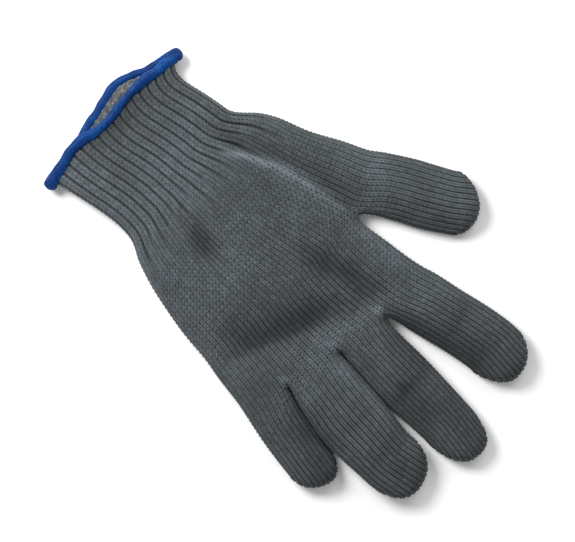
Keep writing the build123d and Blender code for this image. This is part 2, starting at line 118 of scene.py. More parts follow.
# tip: how far the end reaches past the end of the side lines, the powers of its
# curve on each side, and where across it the furthest point lies.
# drop: how far each side edge lies below (or above) the middle of the digit.
DIGITS = {
    "index": dict(ring=28, rows=34, tip=(18.5, 2.3, 1.64, 0.19), drop=(-0.4, 2.5), lift=0.3,
                  left=Line([PALM_LEFT_TOP, (-39.3, 56), (-41.2, 68), (-43.7, 81.6), (-45.3, 93.0), (-45.7, 101)]),
                  right=Line([CROTCH[0], (-7.9, 55), (-9.7, 65), (-13.0, 80.5), (-14.7, 93), (-15.4, 98.0)]),
                  along=(0, 1), bends=(57.0, 79.0, 98.0), zones=((50.8, 63.8), (71.0, 87.0), (91.0, 105.0))),
    "middle": dict(ring=28, rows=40, tip=(21.6, 3.2, 1.82, 0.04), drop=(0.2, 2.6), lift=0.2,
                   left=Line([CROTCH[0], (-4.6, 54.5), (-4.2, 62.0), (-4.0, 70.8), (-3.5, 82.8), (-2.3, 97), (-1.0, 110.5)]),
                   right=Line([CROTCH[1], (23.1, 50), (24.6, 62), (25.7, 72), (26.2, 81), (26.1, 91.4), (26.0, 106.0)]),
                   along=(0, 1), bends=(57.0, 83.0, 106.0), zones=((50.4, 64.0), (75.0, 91.0), (98.5, 113.5))),
    "ring": dict(ring=28, rows=37, tip=(19.5, 2.1, 2.5, 0.07), drop=(-1.2, -1.4), lift=0.9,
                 left=Line([CROTCH[1], (22.9, 50), (24.2, 62), (25.3, 72), (26.4, 81), (28.3, 89.3), (29.6, 97.0)]),
                 right=Line([CROTCH[2], (55.0, 44.5), (56.5, 50.4), (57.9, 56.3), (59.8, 63.6), (61.0, 73), (61.2, 86.4), (61.1, 101.5)]),
                 along=(0, 1), bends=(52.0, 77.0, 97.0), zones=((44.6, 59.4), (69.0, 85.0), (90.0, 104.0))),
    "pinky": dict(ring=24, rows=25, tip=(16.0, 2.05, 2.26, -0.36), drop=(2.7, 0.6), lift=0.1,
                  left=Line([CROTCH[2], (54.6, 44.5), (56.0, 50.4), (57.2, 56.3), (59.0, 63.6), (60.8, 70.2)]),
                  right=Line([PALM_RIGHT_TOP, (79.6, 40), (81.3, 48), (83.9, 61.5), (84.6, 66.0)]),
                  along=(0, 1), bends=(43.0, 57.5, 71.0), zones=((37.4, 46.4), (51.6, 62.4), (67.6, 76.8))),
    "thumb": dict(ring=28, rows=28, tip=(13.3, 1.63, 2.06, 0.07), drop=(0.0, 2.3), lift=0.4,
                  left=Line([(-62.2, -11.6), (-67.0, -4.7), (-73.7, 6.6), (-78.0, 15.6), (-82.0, 23.9), (-83.6, 27.0)]),
                  right=Line([CROTCH_THUMB, (-38.0, 9.7), (-40.9, 13.8), (-43.1, 18.5), (-45.5, 23.0), (-47.6, 27.9),
                              (-49.9, 32.6), (-52.6, 37.3), (-57.5, 45.5)]),
                  along=(-0.4772, 0.8788), bends=(28.0, 50.0), zones=((21.6, 35.0), (41.5, 58.5))),
}
HAND_ROWS, PALM_ROWS = 54, 20
HAND_HALF, PALM_HALF = 52, 42


def dip(a, centre, reach):
    return np.exp(-((a - centre) / reach) ** 2)


# ------------------------------------------------------------------ the tubes, one point per stitch
def hand_tube():
    """Cuff and lower palm, ring of 104 wales, from the mouth to the thumb's crotch."""
    n, rows = HAND_HALF, HAND_ROWS
    P = np.zeros((rows + 1, 2 * n, 3))
    L1, R1 = hand_left.at(1.0), hand_right.at(1.0)
    for j in range(rows + 1):
        t = j / rows
        L, R = hand_left.at(t), hand_right.at(t)
        w = np.linalg.norm(R - L) / 2
        height = HALF * (0.74 + 0.26 * smooth(t, 0.0, 0.2)) * (1 - 0.05 * dip(t, 0.42, 0.12))
        x, z = half_ring(w, n, 6.2 + 1.2 * smooth(t, 0.3, 0.9), height)
        u = (x + w) / (2 * w)
        a = np.arange(n + 1)
        u12 = u[12]
        straight = L + (R - L) * u[:, None]
        last = L1 + (R1 - L1) * u[:, None]
        bent = np.where((u <= u12)[:, None], L1 + (CROTCH_THUMB - L1) * (u / u12)[:, None],
                        CROTCH_THUMB + (R1 - CROTCH_THUMB) * ((u - u12) / (1 - u12))[:, None])
        bend = smooth(t, 0.46, 1.0) ** 1.3
        plan = straight + (bent - last) * bend
        # the lips of the mouth
        lip = (1 - smooth(t, 0, 0.26)) ** 1.5
        up = np.interp(plan[:, 0], upper_lip.p[:, 0], upper_lip.p[:, 1])
        low = np.interp(plan[:, 0], lower_lip.p[:, 0], lower_lip.p[:, 1])
        base = L[1] + (R[1] - L[1]) * u
        m0 = np.interp(plan[:, 0], [-31, 55.5], [-116.5, -118.3])
        top = plan.copy()
        bottom = plan.copy()
        top[:, 1] += (up - m0) * lip
        bottom[:, 1] += (low - m0) * lip
        pucker = (HALF - SEAM) * dip(a, 12, 1.3) * smooth(t, 0.86, 1.0)
        crown = (0.5 + 0.9 * smooth(t, 0.3, 0.6)) * (1 - ((x / w) ** 2)) ** 1.0
        zt = np.maximum(z - pucker + crown, 0)
        z = np.maximum(z - pucker, 0)
        P[j, :n + 1, :2] = top
        P[j, :n + 1, 2] = MID + zt
        back = np.arange(1, n)
        P[j, 2 * n - back, :2] = bottom[back]
        P[j, 2 * n - back, 2] = MID - z[back]
        side = 0.5 * (top + bottom)
        P[j, 0, :2], P[j, n, :2] = side[0], side[n]
    return P


def finger_line():
    """The upper half of the palm's last ring, from the index side to the pinky side."""
    F = np.zeros((PALM_HALF + 1, 3))
    crown = 1.3 * (1 - ((np.arange(PALM_HALF + 1) - PALM_HALF / 2) / (PALM_HALF / 2)) ** 2)
    spans = [(0, 12, PALM_LEFT_TOP, CROTCH[0], "left"), (12, 22, CROTCH[0], CROTCH[1], ""),
             (22, 32, CROTCH[1], CROTCH[2], ""), (32, 42, CROTCH[2], PALM_RIGHT_TOP, "right")]
    for lo, hi, A, B, edge in spans:
        k = hi - lo
        span = np.linalg.norm(B - A)
        d = (B - A) / span
        if edge:
            w = span
            x, z = half_ring(w, 2 * k, ROLL, HALF)
            x, z = x[:k + 1] + w, z[:k + 1]
            x = x / x[-1] * span
            if edge == "right":
                x, z = span - x[::-1], z[::-1]
        else:
            x, z = np.linspace(0, span, k + 1), np.full(k + 1, HALF)
        F[lo:hi + 1, :2] = A + d * x[:, None]
        F[lo:hi + 1, 2] = z
    a = np.arange(PALM_HALF + 1)
    for c in (12, 22, 32):
        F[:, 2] -= (HALF - SEAM) * dip(a, c, 1.2)
    return F, crown


def palm_tube(hand):
    """Upper palm, ring of 84 wales, from the thumb's crotch to the finger line."""
    n, rows = PALM_HALF, PALM_ROWS
    P = np.zeros((rows + 1, 2 * n, 3))
    for j in range(rows + 1):
        t = j / rows
        L, R = palm_left.at(t), palm_right.at(t)
        w = np.linalg.norm(R - L) / 2
        x, z = half_ring(w, n, ROLL, HALF)
        crown = 1.3 * (1 - (x / w) ** 2)
        u = (x + w) / (2 * w)
        plan = L + (R - L) * u[:, None]
        back = np.arange(1, n)
        P[j, :n + 1, :2] = plan
        P[j, :n + 1, 2] = MID + z + crown
        P[j, 2 * n - back, :2] = plan[back]
        P[j, 2 * n - back, 2] = MID - z[back]
    # first ring: the lower hand's columns 12..52 and the thumb's crotch seam
    first = P[0].copy()
    for a in range(2, n + 1):
        first[a] = hand[-1, a + 10]
    for a in range(n, 2 * n - 1):
        first[a] = hand[-1, a + 10]
    for k, a in enumerate((2, 1, 0, 83, 82)):
        first[a] = [CROTCH_THUMB[0], CROTCH_THUMB[1], MID + SEAM * (1 - k / 2)]
    last = P[-1].copy()
    F, crown = finger_line()
    for a in range(n + 1):
        keep = min(abs(a - 12), abs(a - 22), abs(a - 32))
        last[a] = [F[a, 0], F[a, 1], MID + F[a, 2] + crown[a] * smooth(keep, 0, 2.5)]
        if 0 < a < n:
            last[2 * n - a] = [F[a, 0], F[a, 1], MID - F[a, 2]]
    c0, c1 = first - P[0], last - P[-1]
    for j in range(rows + 1):
        t = j / rows
        P[j] += c0 * (1 - smooth(t, 0, 0.55)) + c1 * smooth(t, 0.35, 1.0)
    return P


def digit_tube(name, base):
    """One digit, closed at its tip. base is its first ring, as its neighbours have it."""
    D = DIGITS[name]
    n, rows = D["ring"] // 2, D["rows"]
    left, right = D["left"], D["right"]
    ts = np.linspace(0, 1, 60)
    centre_pts = (left.at(ts) + right.at(ts)) / 2
    centre = Line(centre_pts[::6])
    Ls = centre.length
    Le, Re = left.at(1.0), right.at(1.0)
    w_end = np.linalg.norm(Re - Le) / 2
    across = (Re - Le) / (2 * w_end)
    ahead = np.array([-across[1], across[0]])
    q_end, h_end = half_ring(w_end, n)
    q_end = q_end / w_end
    tip, power_l, power_r, peak = D["tip"]
    away = np.where(q_end < peak, (peak - q_end) / (1 + peak), (q_end - peak) / (1 - peak))
    power = np.where(q_end < peak, power_l, power_r)
    reach = tip * np.clip(1 - np.clip(away, 0, 1) ** power, 0, 1) ** (1 / power)
    horiz = np.minimum(h_end * 1.25, 6.5)
    arc = math.pi / 2 * np.sqrt((h_end ** 2 + horiz ** 2) / 2)
    length = Ls + reach - horiz + arc
    mid_length = length[n // 2]
    drop_l, drop_r = D["drop"]
    P = np.zeros((rows + 1, 2 * n, 3))
    for j in range(rows + 1):
        t = j / rows
        s = np.clip((t - 0.42) / 0.58, 0, 1) ** 2
        lam = t * mid_length + (length - mid_length) * s
        start = smooth(t * mid_length, 1.0, 15.0)
        for k in range(n + 1):
            lk = lam[k]
            turn = Ls + reach[k] - horiz[k]
            flat = min(lk, turn)
            tt = min(flat / Ls, 1.0)
            Lp, Rp = left.at(tt), right.at(tt)
            w = np.linalg.norm(Rp - Lp) / 2
            x, z = RINGS(w, n)
            q, h = x[k] / w, z[k]
            pos = (Lp + Rp) / 2 + (Rp - Lp) / 2 * q
            if flat > Ls:
                pos = pos + ahead * (flat - Ls)
            if lk > turn and arc[k] > 1e-6:
                psi = min((lk - turn) / arc[k], 1.0) * math.pi / 2
                pos = pos + ahead * horiz[k] * math.sin(psi)
                h = h * math.cos(psi)
            share = h / HALF
            lean = (D["lift"] - (drop_l if q < 0 else drop_r) * float(smooth(abs(q), 0.1, 1.0))) * start
            crown = 1.1 * (1 - q * q) * share
            P[j, k] = [pos[0], pos[1], MID + h + crown + lean]
            if 0 < k < n:
                P[j, 2 * n - k] = [pos[0], pos[1], max(0.25, MID - h + lean)]
    fix = base - P[0]
    for j in range(rows + 1):
        P[j] += fix * (1 - smooth(j * mid_length / rows, 0, 15.0))
    return P


_rings = {}


def RINGS(w, n):
    key = (round(w * 20), n)
    if key not in _rings:
        _rings[key] = half_ring(key[0] / 20, n)
    return _rings[key]


# ------------------------------------------------------------------ one welded mesh, labelled by piece
hand = hand_tube()
palm = palm_tube(hand)
verts = []
index_of = {}


def add_grid(name, P, known):
    """Numbers a tube's points, taking those in known from their neighbours."""
    rows, ring = P.shape[:2]
    ids = np.zeros((rows, ring), int)
    for j in range(rows):
        for a in range(ring):
            if (j, a) in known:
                ids[j, a] = known[(j, a)]
            else:
                ids[j, a] = len(verts)
                verts.append(P[j, a])
    index_of[name] = ids
    return ids


H = add_grid("hand", hand, {})
known = {}
for a in range(2, 83):
    known[(0, a)] = H[-1, a + 10]
U = add_grid("palm", palm, known)
last, top_row = H[-1], U[-1]


def side_points(points):
    return np.array([verts[i] for i in points])


thumb_ids = np.zeros(28, int)
for a in range(0, 13):
    thumb_ids[a] = last[a]
for k in range(5):
    thumb_ids[12 + k] = U[0, (2 - k) % 84]
for a in range(16, 28):
    thumb_ids[a] = last[76 + a]
index_ids = np.zeros(28, int)
seams = []
for c in range(3):
    x, y = CROTCH[c]
    ids = []
    for k in range(1, 4):
        ids.append(len(verts))
        verts.append(np.array([x, y, MID + SEAM * (1 - k / 2)]))
    seams.append([top_row[(12, 22, 32)[c]]] + ids + [top_row[84 - (12, 22, 32)[c]]])
index_ids[0:13] = top_row[0:13]
index_ids[12:17] = seams[0]
index_ids[16:28] = [top_row[a] for a in range(72, 84)]


def middle_ids(lo, left_seam, right_seam):
    ids = np.zeros(28, int)
    for k in range(5):
        ids[(2 - k) % 28] = left_seam[k]
        ids[12 + k] = right_seam[k]
    for a in range(2, 13):
        ids[a] = top_row[lo + a - 2]
    for a in range(16, 27):
        ids[a] = top_row[84 - (lo + 10) + (a - 16)]
    return ids


mid_ids = middle_ids(12, seams[0], seams[1])
ring_ids = middle_ids(22, seams[1], seams[2])
pinky_ids = np.zeros(24, int)
for k in range(5):
    pinky_ids[(2 - k) % 24] = seams[2][k]
for a in range(2, 13):
    pinky_ids[a] = top_row[32 + a - 2]
for a in range(12, 23):
    pinky_ids[a] = top_row[42 + a - 12]

bases = {"thumb": thumb_ids, "index": index_ids, "middle": mid_ids, "ring": ring_ids, "pinky": pinky_ids}
for name, ids in bases.items():
    P = digit_tube(name, side_points(ids))
    n = DIGITS[name]["ring"] // 2
    known = {(0, a): ids[a] for a in range(2 * n)}
    rows = P.shape[0]
    grid = np.zeros((rows, 2 * n), int)
    for j in range(rows):
        for a in range(2 * n):
            if (j, a) in known:
                grid[j, a] = known[(j, a)]
            elif j == rows - 1 and a > n:
                grid[j, a] = grid[j, 2 * n - a]
            else:
                grid[j, a] = len(verts)
                verts.append(P[j, a])
    index_of[name] = grid

V = np.array(verts)

# faces with their (wale, course) corners and the piece each belongs to
faces, corners, labels = [], [], []
PIECES = []


def label(name):
    if name not in PIECES:
        PIECES.append(name)
    return PIECES.index(name)


WRIST = (-54.0, -80.0)
hand_y = V[H][:, :, 1]
low_row = max(j for j in range(HAND_ROWS + 1) if hand_y[j].max() < WRIST[1] - 0.3)
high_row = min(j for j in range(HAND_ROWS + 1) if hand_y[j].min() > WRIST[0] + 0.3)
for tube, ids in index_of.items():
    rows, ring = ids.shape
    pos = V[ids]
    if tube in DIGITS:
        D = DIGITS[tube]
        d = np.array(D["along"])
        along = pos[:, :, :2] @ d
        cuts = []
        for (s0, e0), (s1, e1) in zip(D["zones"][:-1], D["zones"][1:]):
            ok = [j for j in range(rows) if along[j].min() >= e0 - 0.01 and along[j].max() <= s1 + 0.01]
            want = (e0 + s1) / 2
            cuts.append(min(ok, key=lambda j: abs(along[j].mean() - want)) if ok
                        else min(range(rows), key=lambda j: abs(along[j].mean() - want)))
    for j in range(rows - 1):
        for a in range(ring):
            b = (a + 1) % ring
            q = [ids[j, a], ids[j, b], ids[j + 1, b], ids[j + 1, a]]
            uv = [(a, j), (a + 1, j), (a + 1, j + 1), (a, j + 1)]
            if len(set(q)) < 4:
                keep = [k for k in range(4) if q[k] not in q[:k]]
                q, uv = [q[k] for k in keep], [uv[k] for k in keep]
            if tube == "hand":
                part = "cuff" if j < low_row else "wrist" if j < high_row else ("palm_face" if a < HAND_HALF else "palm_back")
            elif tube == "palm":
                part = "palm_face" if a < PALM_HALF else "palm_back"
            else:
                k = sum(j >= c for c in cuts)
                part = tube + ("_root", "_knuckle", "_tip")[k] if len(D["zones"]) == 3 else tube + ("_root", "_tip")[k]
            faces.append(q)
            corners.append(uv)
            labels.append(label(part))

# orientation: the ring runs over the top from the thumb side, so rows run outwards
edges = set()
for q in faces:
    for k in range(len(q)):
        e = (q[k], q[(k + 1) % len(q)])
        edges.add((min(e), max(e)))
edges = np.array(sorted(edges))


def relax(V, weight, rounds):
    V = V.copy()
    deg = np.zeros(len(V))
    np.add.at(deg, edges[:, 0], 1)
    np.add.at(deg, edges[:, 1], 1)
    for _ in range(rounds):
        s = np.zeros_like(V)
        np.add.at(s, edges[:, 0], V[edges[:, 1]])
        np.add.at(s, edges[:, 1], V[edges[:, 0]])
        V += (s / deg[:, None] - V) * weight[:, None] * 0.5
    return V


start_V = V.copy()
w = np.zeros(len(V))
for c in [CROTCH_THUMB] + CROTCH:
    r = np.linalg.norm(V[:, :2] - c, axis=1)
    w = np.maximum(w, 1 - smooth(r, 4.0, 13.0))
V = relax(V, w, 8)
V = relax(V, np.where(V[:, 1] < -112, 0.0, 0.3), 2)
# smoothing fills the crotches, so their seams go back where they were
for c in [CROTCH_THUMB] + CROTCH:
    r = np.linalg.norm(start_V[:, :2] - c, axis=1)
    seam = np.flatnonzero((r < 0.6) & (np.abs(start_V[:, 2] - MID) < SEAM + 0.4))
    shift = (start_V[seam] - V[seam]).mean(0)
    V += shift * np.exp(-(r / 6.0) ** 2)[:, None]

# ------------------------------------------------------------------ how the cloth lies
facing = np.clip((V[:, 2] - MID) / HALF, -1, 1)
top_w = smooth(facing, 0.15, 0.9)
x, y = V[:, 0], V[:, 1]


GUSSET = [(-12, -74), (-15.2, -62.3), (-18.4, -56.6), (-22.6, -47.6), (-26.4, -38.2),
          (-28.7, -27.6), (-30.6, -16.6), (-32.9, 2.2), (-33, 14)]


def along_line(points, at=None):
    """Signed distance to a line, positive to its left, and the share along it."""
    L = Line(points)
    p = L.p
    P = V if at is None else at
    d2 = ((P[:, None, :2] - p[None, ::4]) ** 2).sum(-1)
    k = d2.argmin(1) * 4
    k = np.clip(k, 0, len(p) - 2)
    d = p[k + 1] - p[k]
    r = P[:, :2] - p[k]
    side = (d[:, 0] * r[:, 1] - d[:, 1] * r[:, 0]) / np.maximum(np.linalg.norm(d, axis=1), 1e-9)
    return side, L.s[k] / L.length


z = V[:, 2].copy()
gather_and_shade = np.zeros(len(V))                     # 1 where the cloth is gathered, so its ridges stand deeper; it also darkens the yarn's colour as painted shade
taut_and_painted_light = np.zeros(len(V))                      # 1 where it is pulled smooth; it also lightens the yarn's colour as painted light
# the gusset: the hand stands a little higher than the thumb's base
side, share = along_line(GUSSET)
near = smooth(share, 0.0, 0.2) * (1 - smooth(share, 0.78, 0.95))
z += top_w * near * (2.5 * np.exp(-((side + 1.8) / 2.8) ** 2) + 0.9 * np.exp(-((side + 6) / 7) ** 2)
                     - 2.7 * np.exp(-((side - 3.8) / 4.2) ** 2))
# painted light on the gusset's step and painted shade on its thumb side
taut_and_painted_light += 0.35 * near * np.exp(-((side + 3) / 5) ** 2)
gather_and_shade = np.maximum(gather_and_shade, 0.45 * near * np.exp(-((side - 5) / 6) ** 2))
# a hollow in the thumb's base
z -= top_w * 1.6 * np.exp(-((x + 42) / 7) ** 2 - ((y + 8) / 16) ** 2)
# hollows across the palm, just before the fingers begin, with painted shade in them
side, share = along_line([(66, -1), (58, 4.0), (50, 9.0), (33.4, 18.2), (15.5, 26.4), (4, 32.4), (-6, 39.5), (-8, 43)])
w1 = smooth(share, 0, 0.22) * (1 - 0.35 * smooth(share, 0.6, 0.9)) * (1 - smooth(share, 0.88, 1.0))
z -= top_w * 4.2 * np.exp(-((side + 0.5) / np.where(side > -0.5, 10.0, 7.0)) ** 2) * w1
gather_and_shade = np.maximum(gather_and_shade, 1.25 * w1 * np.exp(-((side + 0.5) / np.where(side > -0.5, 12.0, 4.0)) ** 2))
side, share = along_line([(1, -8), (-2.5, 1.7), (-5.5, 14.2), (-9.2, 25.7), (-10.5, 38.1), (-9.1, 45)])
w2 = smooth(share, 0, 0.35) * (1 - smooth(share, 0.85, 1.0))
z -= top_w * 3.6 * np.exp(-(side / 7.0) ** 2) * w2
gather_and_shade = np.maximum(gather_and_shade, 1.25 * w2 * np.exp(-(side / 7.0) ** 2))
# the swell of the palm below them, with painted light and painted shade on patches of the palm
taut_and_painted_light += 0.08 * np.exp(-((x - 52) / 14) ** 2 - ((y + 26) / 22) ** 2)
taut_and_painted_light += 0.22 * np.exp(-((x - 30) / 18) ** 2 - ((y - 38) / 7) ** 2)
gather_and_shade += 0.30 * np.exp(-((x - 4) / 16) ** 2 - ((y + 22) / 20) ** 2)
z += top_w * 2.2 * np.exp(-((x - 32) / 25) ** 2 - ((y + 14) / 17) ** 2)
z += top_w * 1.6 * np.exp(-((x + 15) / 11) ** 2 - ((y - 24) / 17) ** 2)
z += top_w * 1.0 * np.exp(-((x - 30) / 22) ** 2 - ((y - 40) / 9) ** 2)
# the dent where the rib pulls the palm in, with painted shade in it
z -= top_w * 3.4 * np.exp(-((x - 28.0 - 0.15 * (y + 44)) / 7) ** 2 - ((y + 36) / 12) ** 2)
gather_and_shade = np.maximum(gather_and_shade, 1.6 * np.exp(-((x - 27.5 - 0.2 * (y + 44)) / 6.0) ** 2 - ((y + 42) / 12) ** 2))
z -= top_w * 1.4 * np.exp(-((x + 24) / 10) ** 2 - ((y + 70) / 8) ** 2)
z += top_w * 1.0 * np.exp(-((x - 4) / 12) ** 2 - ((y + 52) / 12) ** 2)
# a pucker just before each crotch, with a painted highlight on it
for (cx, cy), (px, py) in zip(CROTCH, ((-5.6, 45.0), (22.2, 40.0), (51.2, 33.6))):
    z += top_w * 1.5 * np.exp(-((x - px) / 1.9) ** 2 - ((y - py) / 3.4) ** 2)
    taut_and_painted_light += 1.3 * np.exp(-((x - px) / 2.0) ** 2 - ((y - py) / 2.6) ** 2)
# long slow swells
z += top_w * (0.55 * np.sin(0.055 * x + 0.031 * y + 0.6) + 0.45 * np.sin(0.028 * x - 0.083 * y + 2.1)
              + 0.30 * np.sin(0.15 * x + 0.06 * y + 4.0) + 0.28 * np.sin(-0.05 * x + 0.17 * y + 1.0))
# soft creases across the fingers, where they bend
for (fx, fy, sx, depth) in ((-26, 79, 16, 0.9), (-28, 98, 15, 0.6), (12, 84, 15, 1.8), (12, 105, 14, 0.7),
                            (42, 77, 15, 0.8), (45, 97, 15, 0.8), (70, 58, 12, 0.9), (-58, 27, 13, 0.9)):
    z -= top_w * depth * np.exp(-((x - fx) / sx) ** 2 - ((y - fy) / 4.5) ** 2)
# folds along the rib where the wrist is drawn in on the thumb's side
fold = smooth(y, -112, -92) * (1 - smooth(y, -72, -58)) * np.exp(-((x + 17 + 0.10 * (y + 90)) / 13) ** 2)
z += top_w * fold * 0.9 * np.sin((x + 0.25 * (y + 90)) * 2 * math.pi / 9.5)
# painted shade on the sides of the fingers and the thumb that face away from the light
for cx, cy, w_ in ((-9, 66, 1.0), (-13, 88, 1.0), (-1, 68, 0.8), (15, 85, 1.25), (9, 112, 0.6), (46, 106, 0.8),
                   (62, 62, 0.9), (70, 74, 0.7), (-57, 37, 0.95), (-47, 22, 0.95)):
    gather_and_shade = np.maximum(gather_and_shade, w_ * np.exp(-((x - cx) / 8) ** 2 - ((y - cy) / 13) ** 2))
# painted light on the rib, more towards the mouth, and in lit strips on the fingers and beside the thumb; painted shade
# over the fingers' ends, on further patches, and under the turned edge
taut_and_painted_light += 0.40 * (1 - smooth(y, -78, -44))
taut_and_painted_light += 0.50 * np.exp(-((x - 29.0) / 3.4) ** 2) * smooth(y, 42, 50) * (1 - smooth(y, 80, 92))
taut_and_painted_light += 0.45 * np.exp(-((x + 36) / 6) ** 2) * smooth(y, 50, 60) * (1 - smooth(y, 88, 100))
taut_and_painted_light += 0.35 * np.exp(-((x - 6) / 6) ** 2 - ((y - 92) / 18) ** 2)
taut_and_painted_light += 0.35 * np.exp(-((x + 55) / 9) ** 2 - ((y + 8) / 26) ** 2)
taut_and_painted_light += 0.55 * np.exp(-((x + 31) / 4.5) ** 2) * smooth(y, -4, 6) * (1 - smooth(y, 30, 48))
gather_and_shade += 0.25 * smooth(y, -40, 0) * (1 - smooth(y, 20, 45)) * smooth(x, -30, -10) * (1 - smooth(x, 45, 62))
gather_and_shade += 0.40 * smooth(y, 40, 90) + 0.26 * smooth(-x, 42, 66) * smooth(y, -10, 20) + 0.12 * smooth(y, 30, 60)
gather_and_shade += 0.40 * np.exp(-((x + 36) / 5) ** 2 - ((y + 9) / 10) ** 2) + 0.12 * smooth(x, 40, 62) * smooth(y, -62, -40)
gather_and_shade += 0.75 * np.exp(-((x + 13.5 + 0.12 * (y - 72)) / 7) ** 2) * smooth(y, 46, 56) * (1 - smooth(y, 96, 108))
gather_and_shade += 0.36 * np.exp(-((x + 29) / 10) ** 2) * smooth(y, 55, 75) + 0.22 * np.exp(-((x - 66) / 14) ** 2) * smooth(y, 38, 50)
gather_and_shade += 0.85 * smooth(-y, 103, 114) * np.exp(-((x - 10) / 20) ** 2)      # under the turned edge
gather_and_shade = np.clip(gather_and_shade - taut_and_painted_light, -0.9, 1.45)
V[:, 2] = np.maximum(z, 0.35)

# ------------------------------------------------------------------ Blender mesh, subdivided
def base_mesh():
    me = bpy.data.meshes.new("knit_cage")
    me.from_pydata([tuple(v * MM) for v in V], [], [tuple(int(i) for i in q) for q in faces])
    uv = me.uv_layers.new(name="knit")
    flat = np.array([c for uvs in corners for c in uvs], np.float32)
    uv.data.foreach_set("uv", flat.ravel())
    me.polygons.foreach_set("material_index", np.array(labels, np.int32))
    me.polygons.foreach_set("use_smooth", np.ones(len(faces), bool))
    for _ in PIECES:
        me.materials.append(None)
    me.polygons.foreach_set("material_index", np.array(labels, np.int32))
    at = me.attributes.new("gather_and_shade", "FLOAT", "POINT")
    at.data.foreach_set("value", gather_and_shade.astype(np.float32))
    me.update()
    me.validate()
    ob = bpy.data.objects.new("knit_cage", me)
    bpy.context.scene.collection.objects.link(ob)
    m = ob.modifiers.new("sub", "SUBSURF")
    m.levels = m.render_levels = LEVELS
    m.uv_smooth = "NONE"
    m.use_limit_surface = False
    dg = bpy.context.evaluated_depsgraph_get()
    fine = bpy.data.meshes.new_from_object(ob.evaluated_get(dg))
    bpy.data.objects.remove(ob)
    return fine


fine = base_mesh()
nv, nf, nl = len(fine.vertices), len(fine.polygons), len(fine.loops)
co = np.empty(nv * 3, np.float32); fine.vertices.foreach_get("co", co); co = co.reshape(-1, 3).astype(float) / MM
loop_v = np.empty(nl, np.int32); fine.loops.foreach_get("vertex_index", loop_v)
start = np.empty(nf, np.int32); fine.polygons.foreach_get("loop_start", start)
lab = np.empty(nf, np.int32); fine.polygons.foreach_get("material_index", lab)
uvs = np.empty(nl * 2, np.float32); fine.uv_layers["knit"].data.foreach_get("uv", uvs); uvs = uvs.reshape(-1, 2)
gather_and_shade_fine = np.empty(nv, np.float32); fine.attributes["gather_and_shade"].data.foreach_get("value", gather_and_shade_fine)
quads = loop_v.reshape(-1, 4)
assert len(quads) == nf
quv = uvs.reshape(-1, 4, 2)


def vertex_normals(co):
    a, b, c, d = (co[quads[:, k]] for k in range(4))
    fn = np.cross(c - a, d - b)
    out = np.zeros_like(co)
    for k in range(4):
        np.add.at(out, quads[:, k], fn)
    return out / np.maximum(np.linalg.norm(out, axis=1), 1e-12)[:, None]


# each vertex's wale and course, for the rib
vert_u = np.zeros(nv); vert_v = np.zeros(nv)
vert_u[loop_v] = uvs[:, 0]; vert_v[loop_v] = uvs[:, 1]

N = vertex_normals(co)
if (N[co[:, 2] > MID + 3, 2]).mean() < 0:
    quads = quads[:, ::-1].copy(); quv = quv[:, ::-1].copy()
    N = -N

fu = vert_u - np.floor(vert_u + 1e-4)
fv = vert_v - np.floor(vert_v + 1e-4)
s = np.abs(2 * fu - 1)                        # 0 in the middle of a wale, 1 at its border
# each stitch is a V: two legs, with a groove between them and one at the wale's border
rx, ry = co[:, 0], co[:, 1]
# the gathered part deepens the relief below and also darkens the crevices' colour as painted shade
gathered_and_shaded = np.clip(gather_and_shade_fine, 0, 1)
# beside the blue edge the cloth gets painted shade, as if cast by the edge, most on the pinky's half
from_side = rx[ry < -118].max() - rx
painted_edge_shade = (0.2 + 0.8 * smooth(from_side, 14, 28) * (1 - 0.62 * smooth(from_side, 42, 80))) \
    * (0.25 + 1.6 * np.exp(-np.maximum(ry + 128, 0) / 9.5)) * (1 - smooth(ry, -100, -83))
# on the palm the cloth is stretched and the stitches open into a lattice
stretch = smooth(ry, -62, -40) * (1 - smooth(ry, 36, 62)) * smooth(rx, -70, -40) * (1 - 0.8 * gathered_and_shaded)
slit = 0.48 - 0.24 * gathered_and_shaded
legs = 1 - np.where(s > 0.5, 1.0, slit) * (2 * s - 1) ** 2
wave = 0.5 + 0.5 * np.cos(2 * math.pi * (fv - 0.5 * s))
jersey = (0.46 - 0.18 * stretch + 0.26 * gathered_and_shaded) * legs + (0.22 + 0.20 * stretch) * wave
# uneven tension from row to row and wale to wale
uneven = 0.5 + 0.25 * np.sin(vert_u * 2.17 + 0.21 * vert_v) + 0.25 * np.sin(vert_u * 0.83 - 0.37 * vert_v + 1.3)
jersey *= 0.80 + 0.40 * uneven

# rib: two knit wales and one sunk purl wale, mirrored about the middle of each face
am = np.where(vert_u > HAND_HALF, 2 * HAND_HALF - vert_u, vert_u)
off = (am - 26.5 + 1.5) % 3 - 1.5
groove = np.exp(-(off / 0.34) ** 2)
rib_shape = 0.30 * (1 - (np.abs(off) - 1.05) ** 2 * 1.0) - 1.30 * groove
rib_on = np.where(ry < -44, 1 - smooth(ry + 5 * np.sin(am * 0.9), -72, -48), 0.0)
rib_on *= 1 - 0.35 * (1 - smooth(ry, -118, -112))
legs_rib = 1 - np.where(s > 0.5, 1.0, 0.8 * (1 - 0.65 * rib_on)) * (2 * s - 1) ** 2
jersey = np.where(rib_on > 0, (1 - rib_on) * jersey + rib_on * (0.20 * legs_rib + 0.30 * wave) * (0.8 + 0.4 * uneven), jersey)
pinch = 1 + 0.18 * np.exp(-((rx + 17) / 16) ** 2) * smooth(ry, -112, -95)
relief = jersey + rib_shape * rib_on * pinch
lift = relief - 0.25
# the crease beside the thumb's gusset
side, share = along_line(GUSSET, co)
crease = smooth(share, 0.0, 0.15) * (1 - smooth(share, 0.82, 0.95)) * (co[:, 2] > MID + 1.5) * (np.abs(side) < 12)
lift += crease * (0.85 * np.exp(-((side + 1.0) / 1.6) ** 2) - 0.60 * np.exp(-((side - 2.3) / 1.9) ** 2))
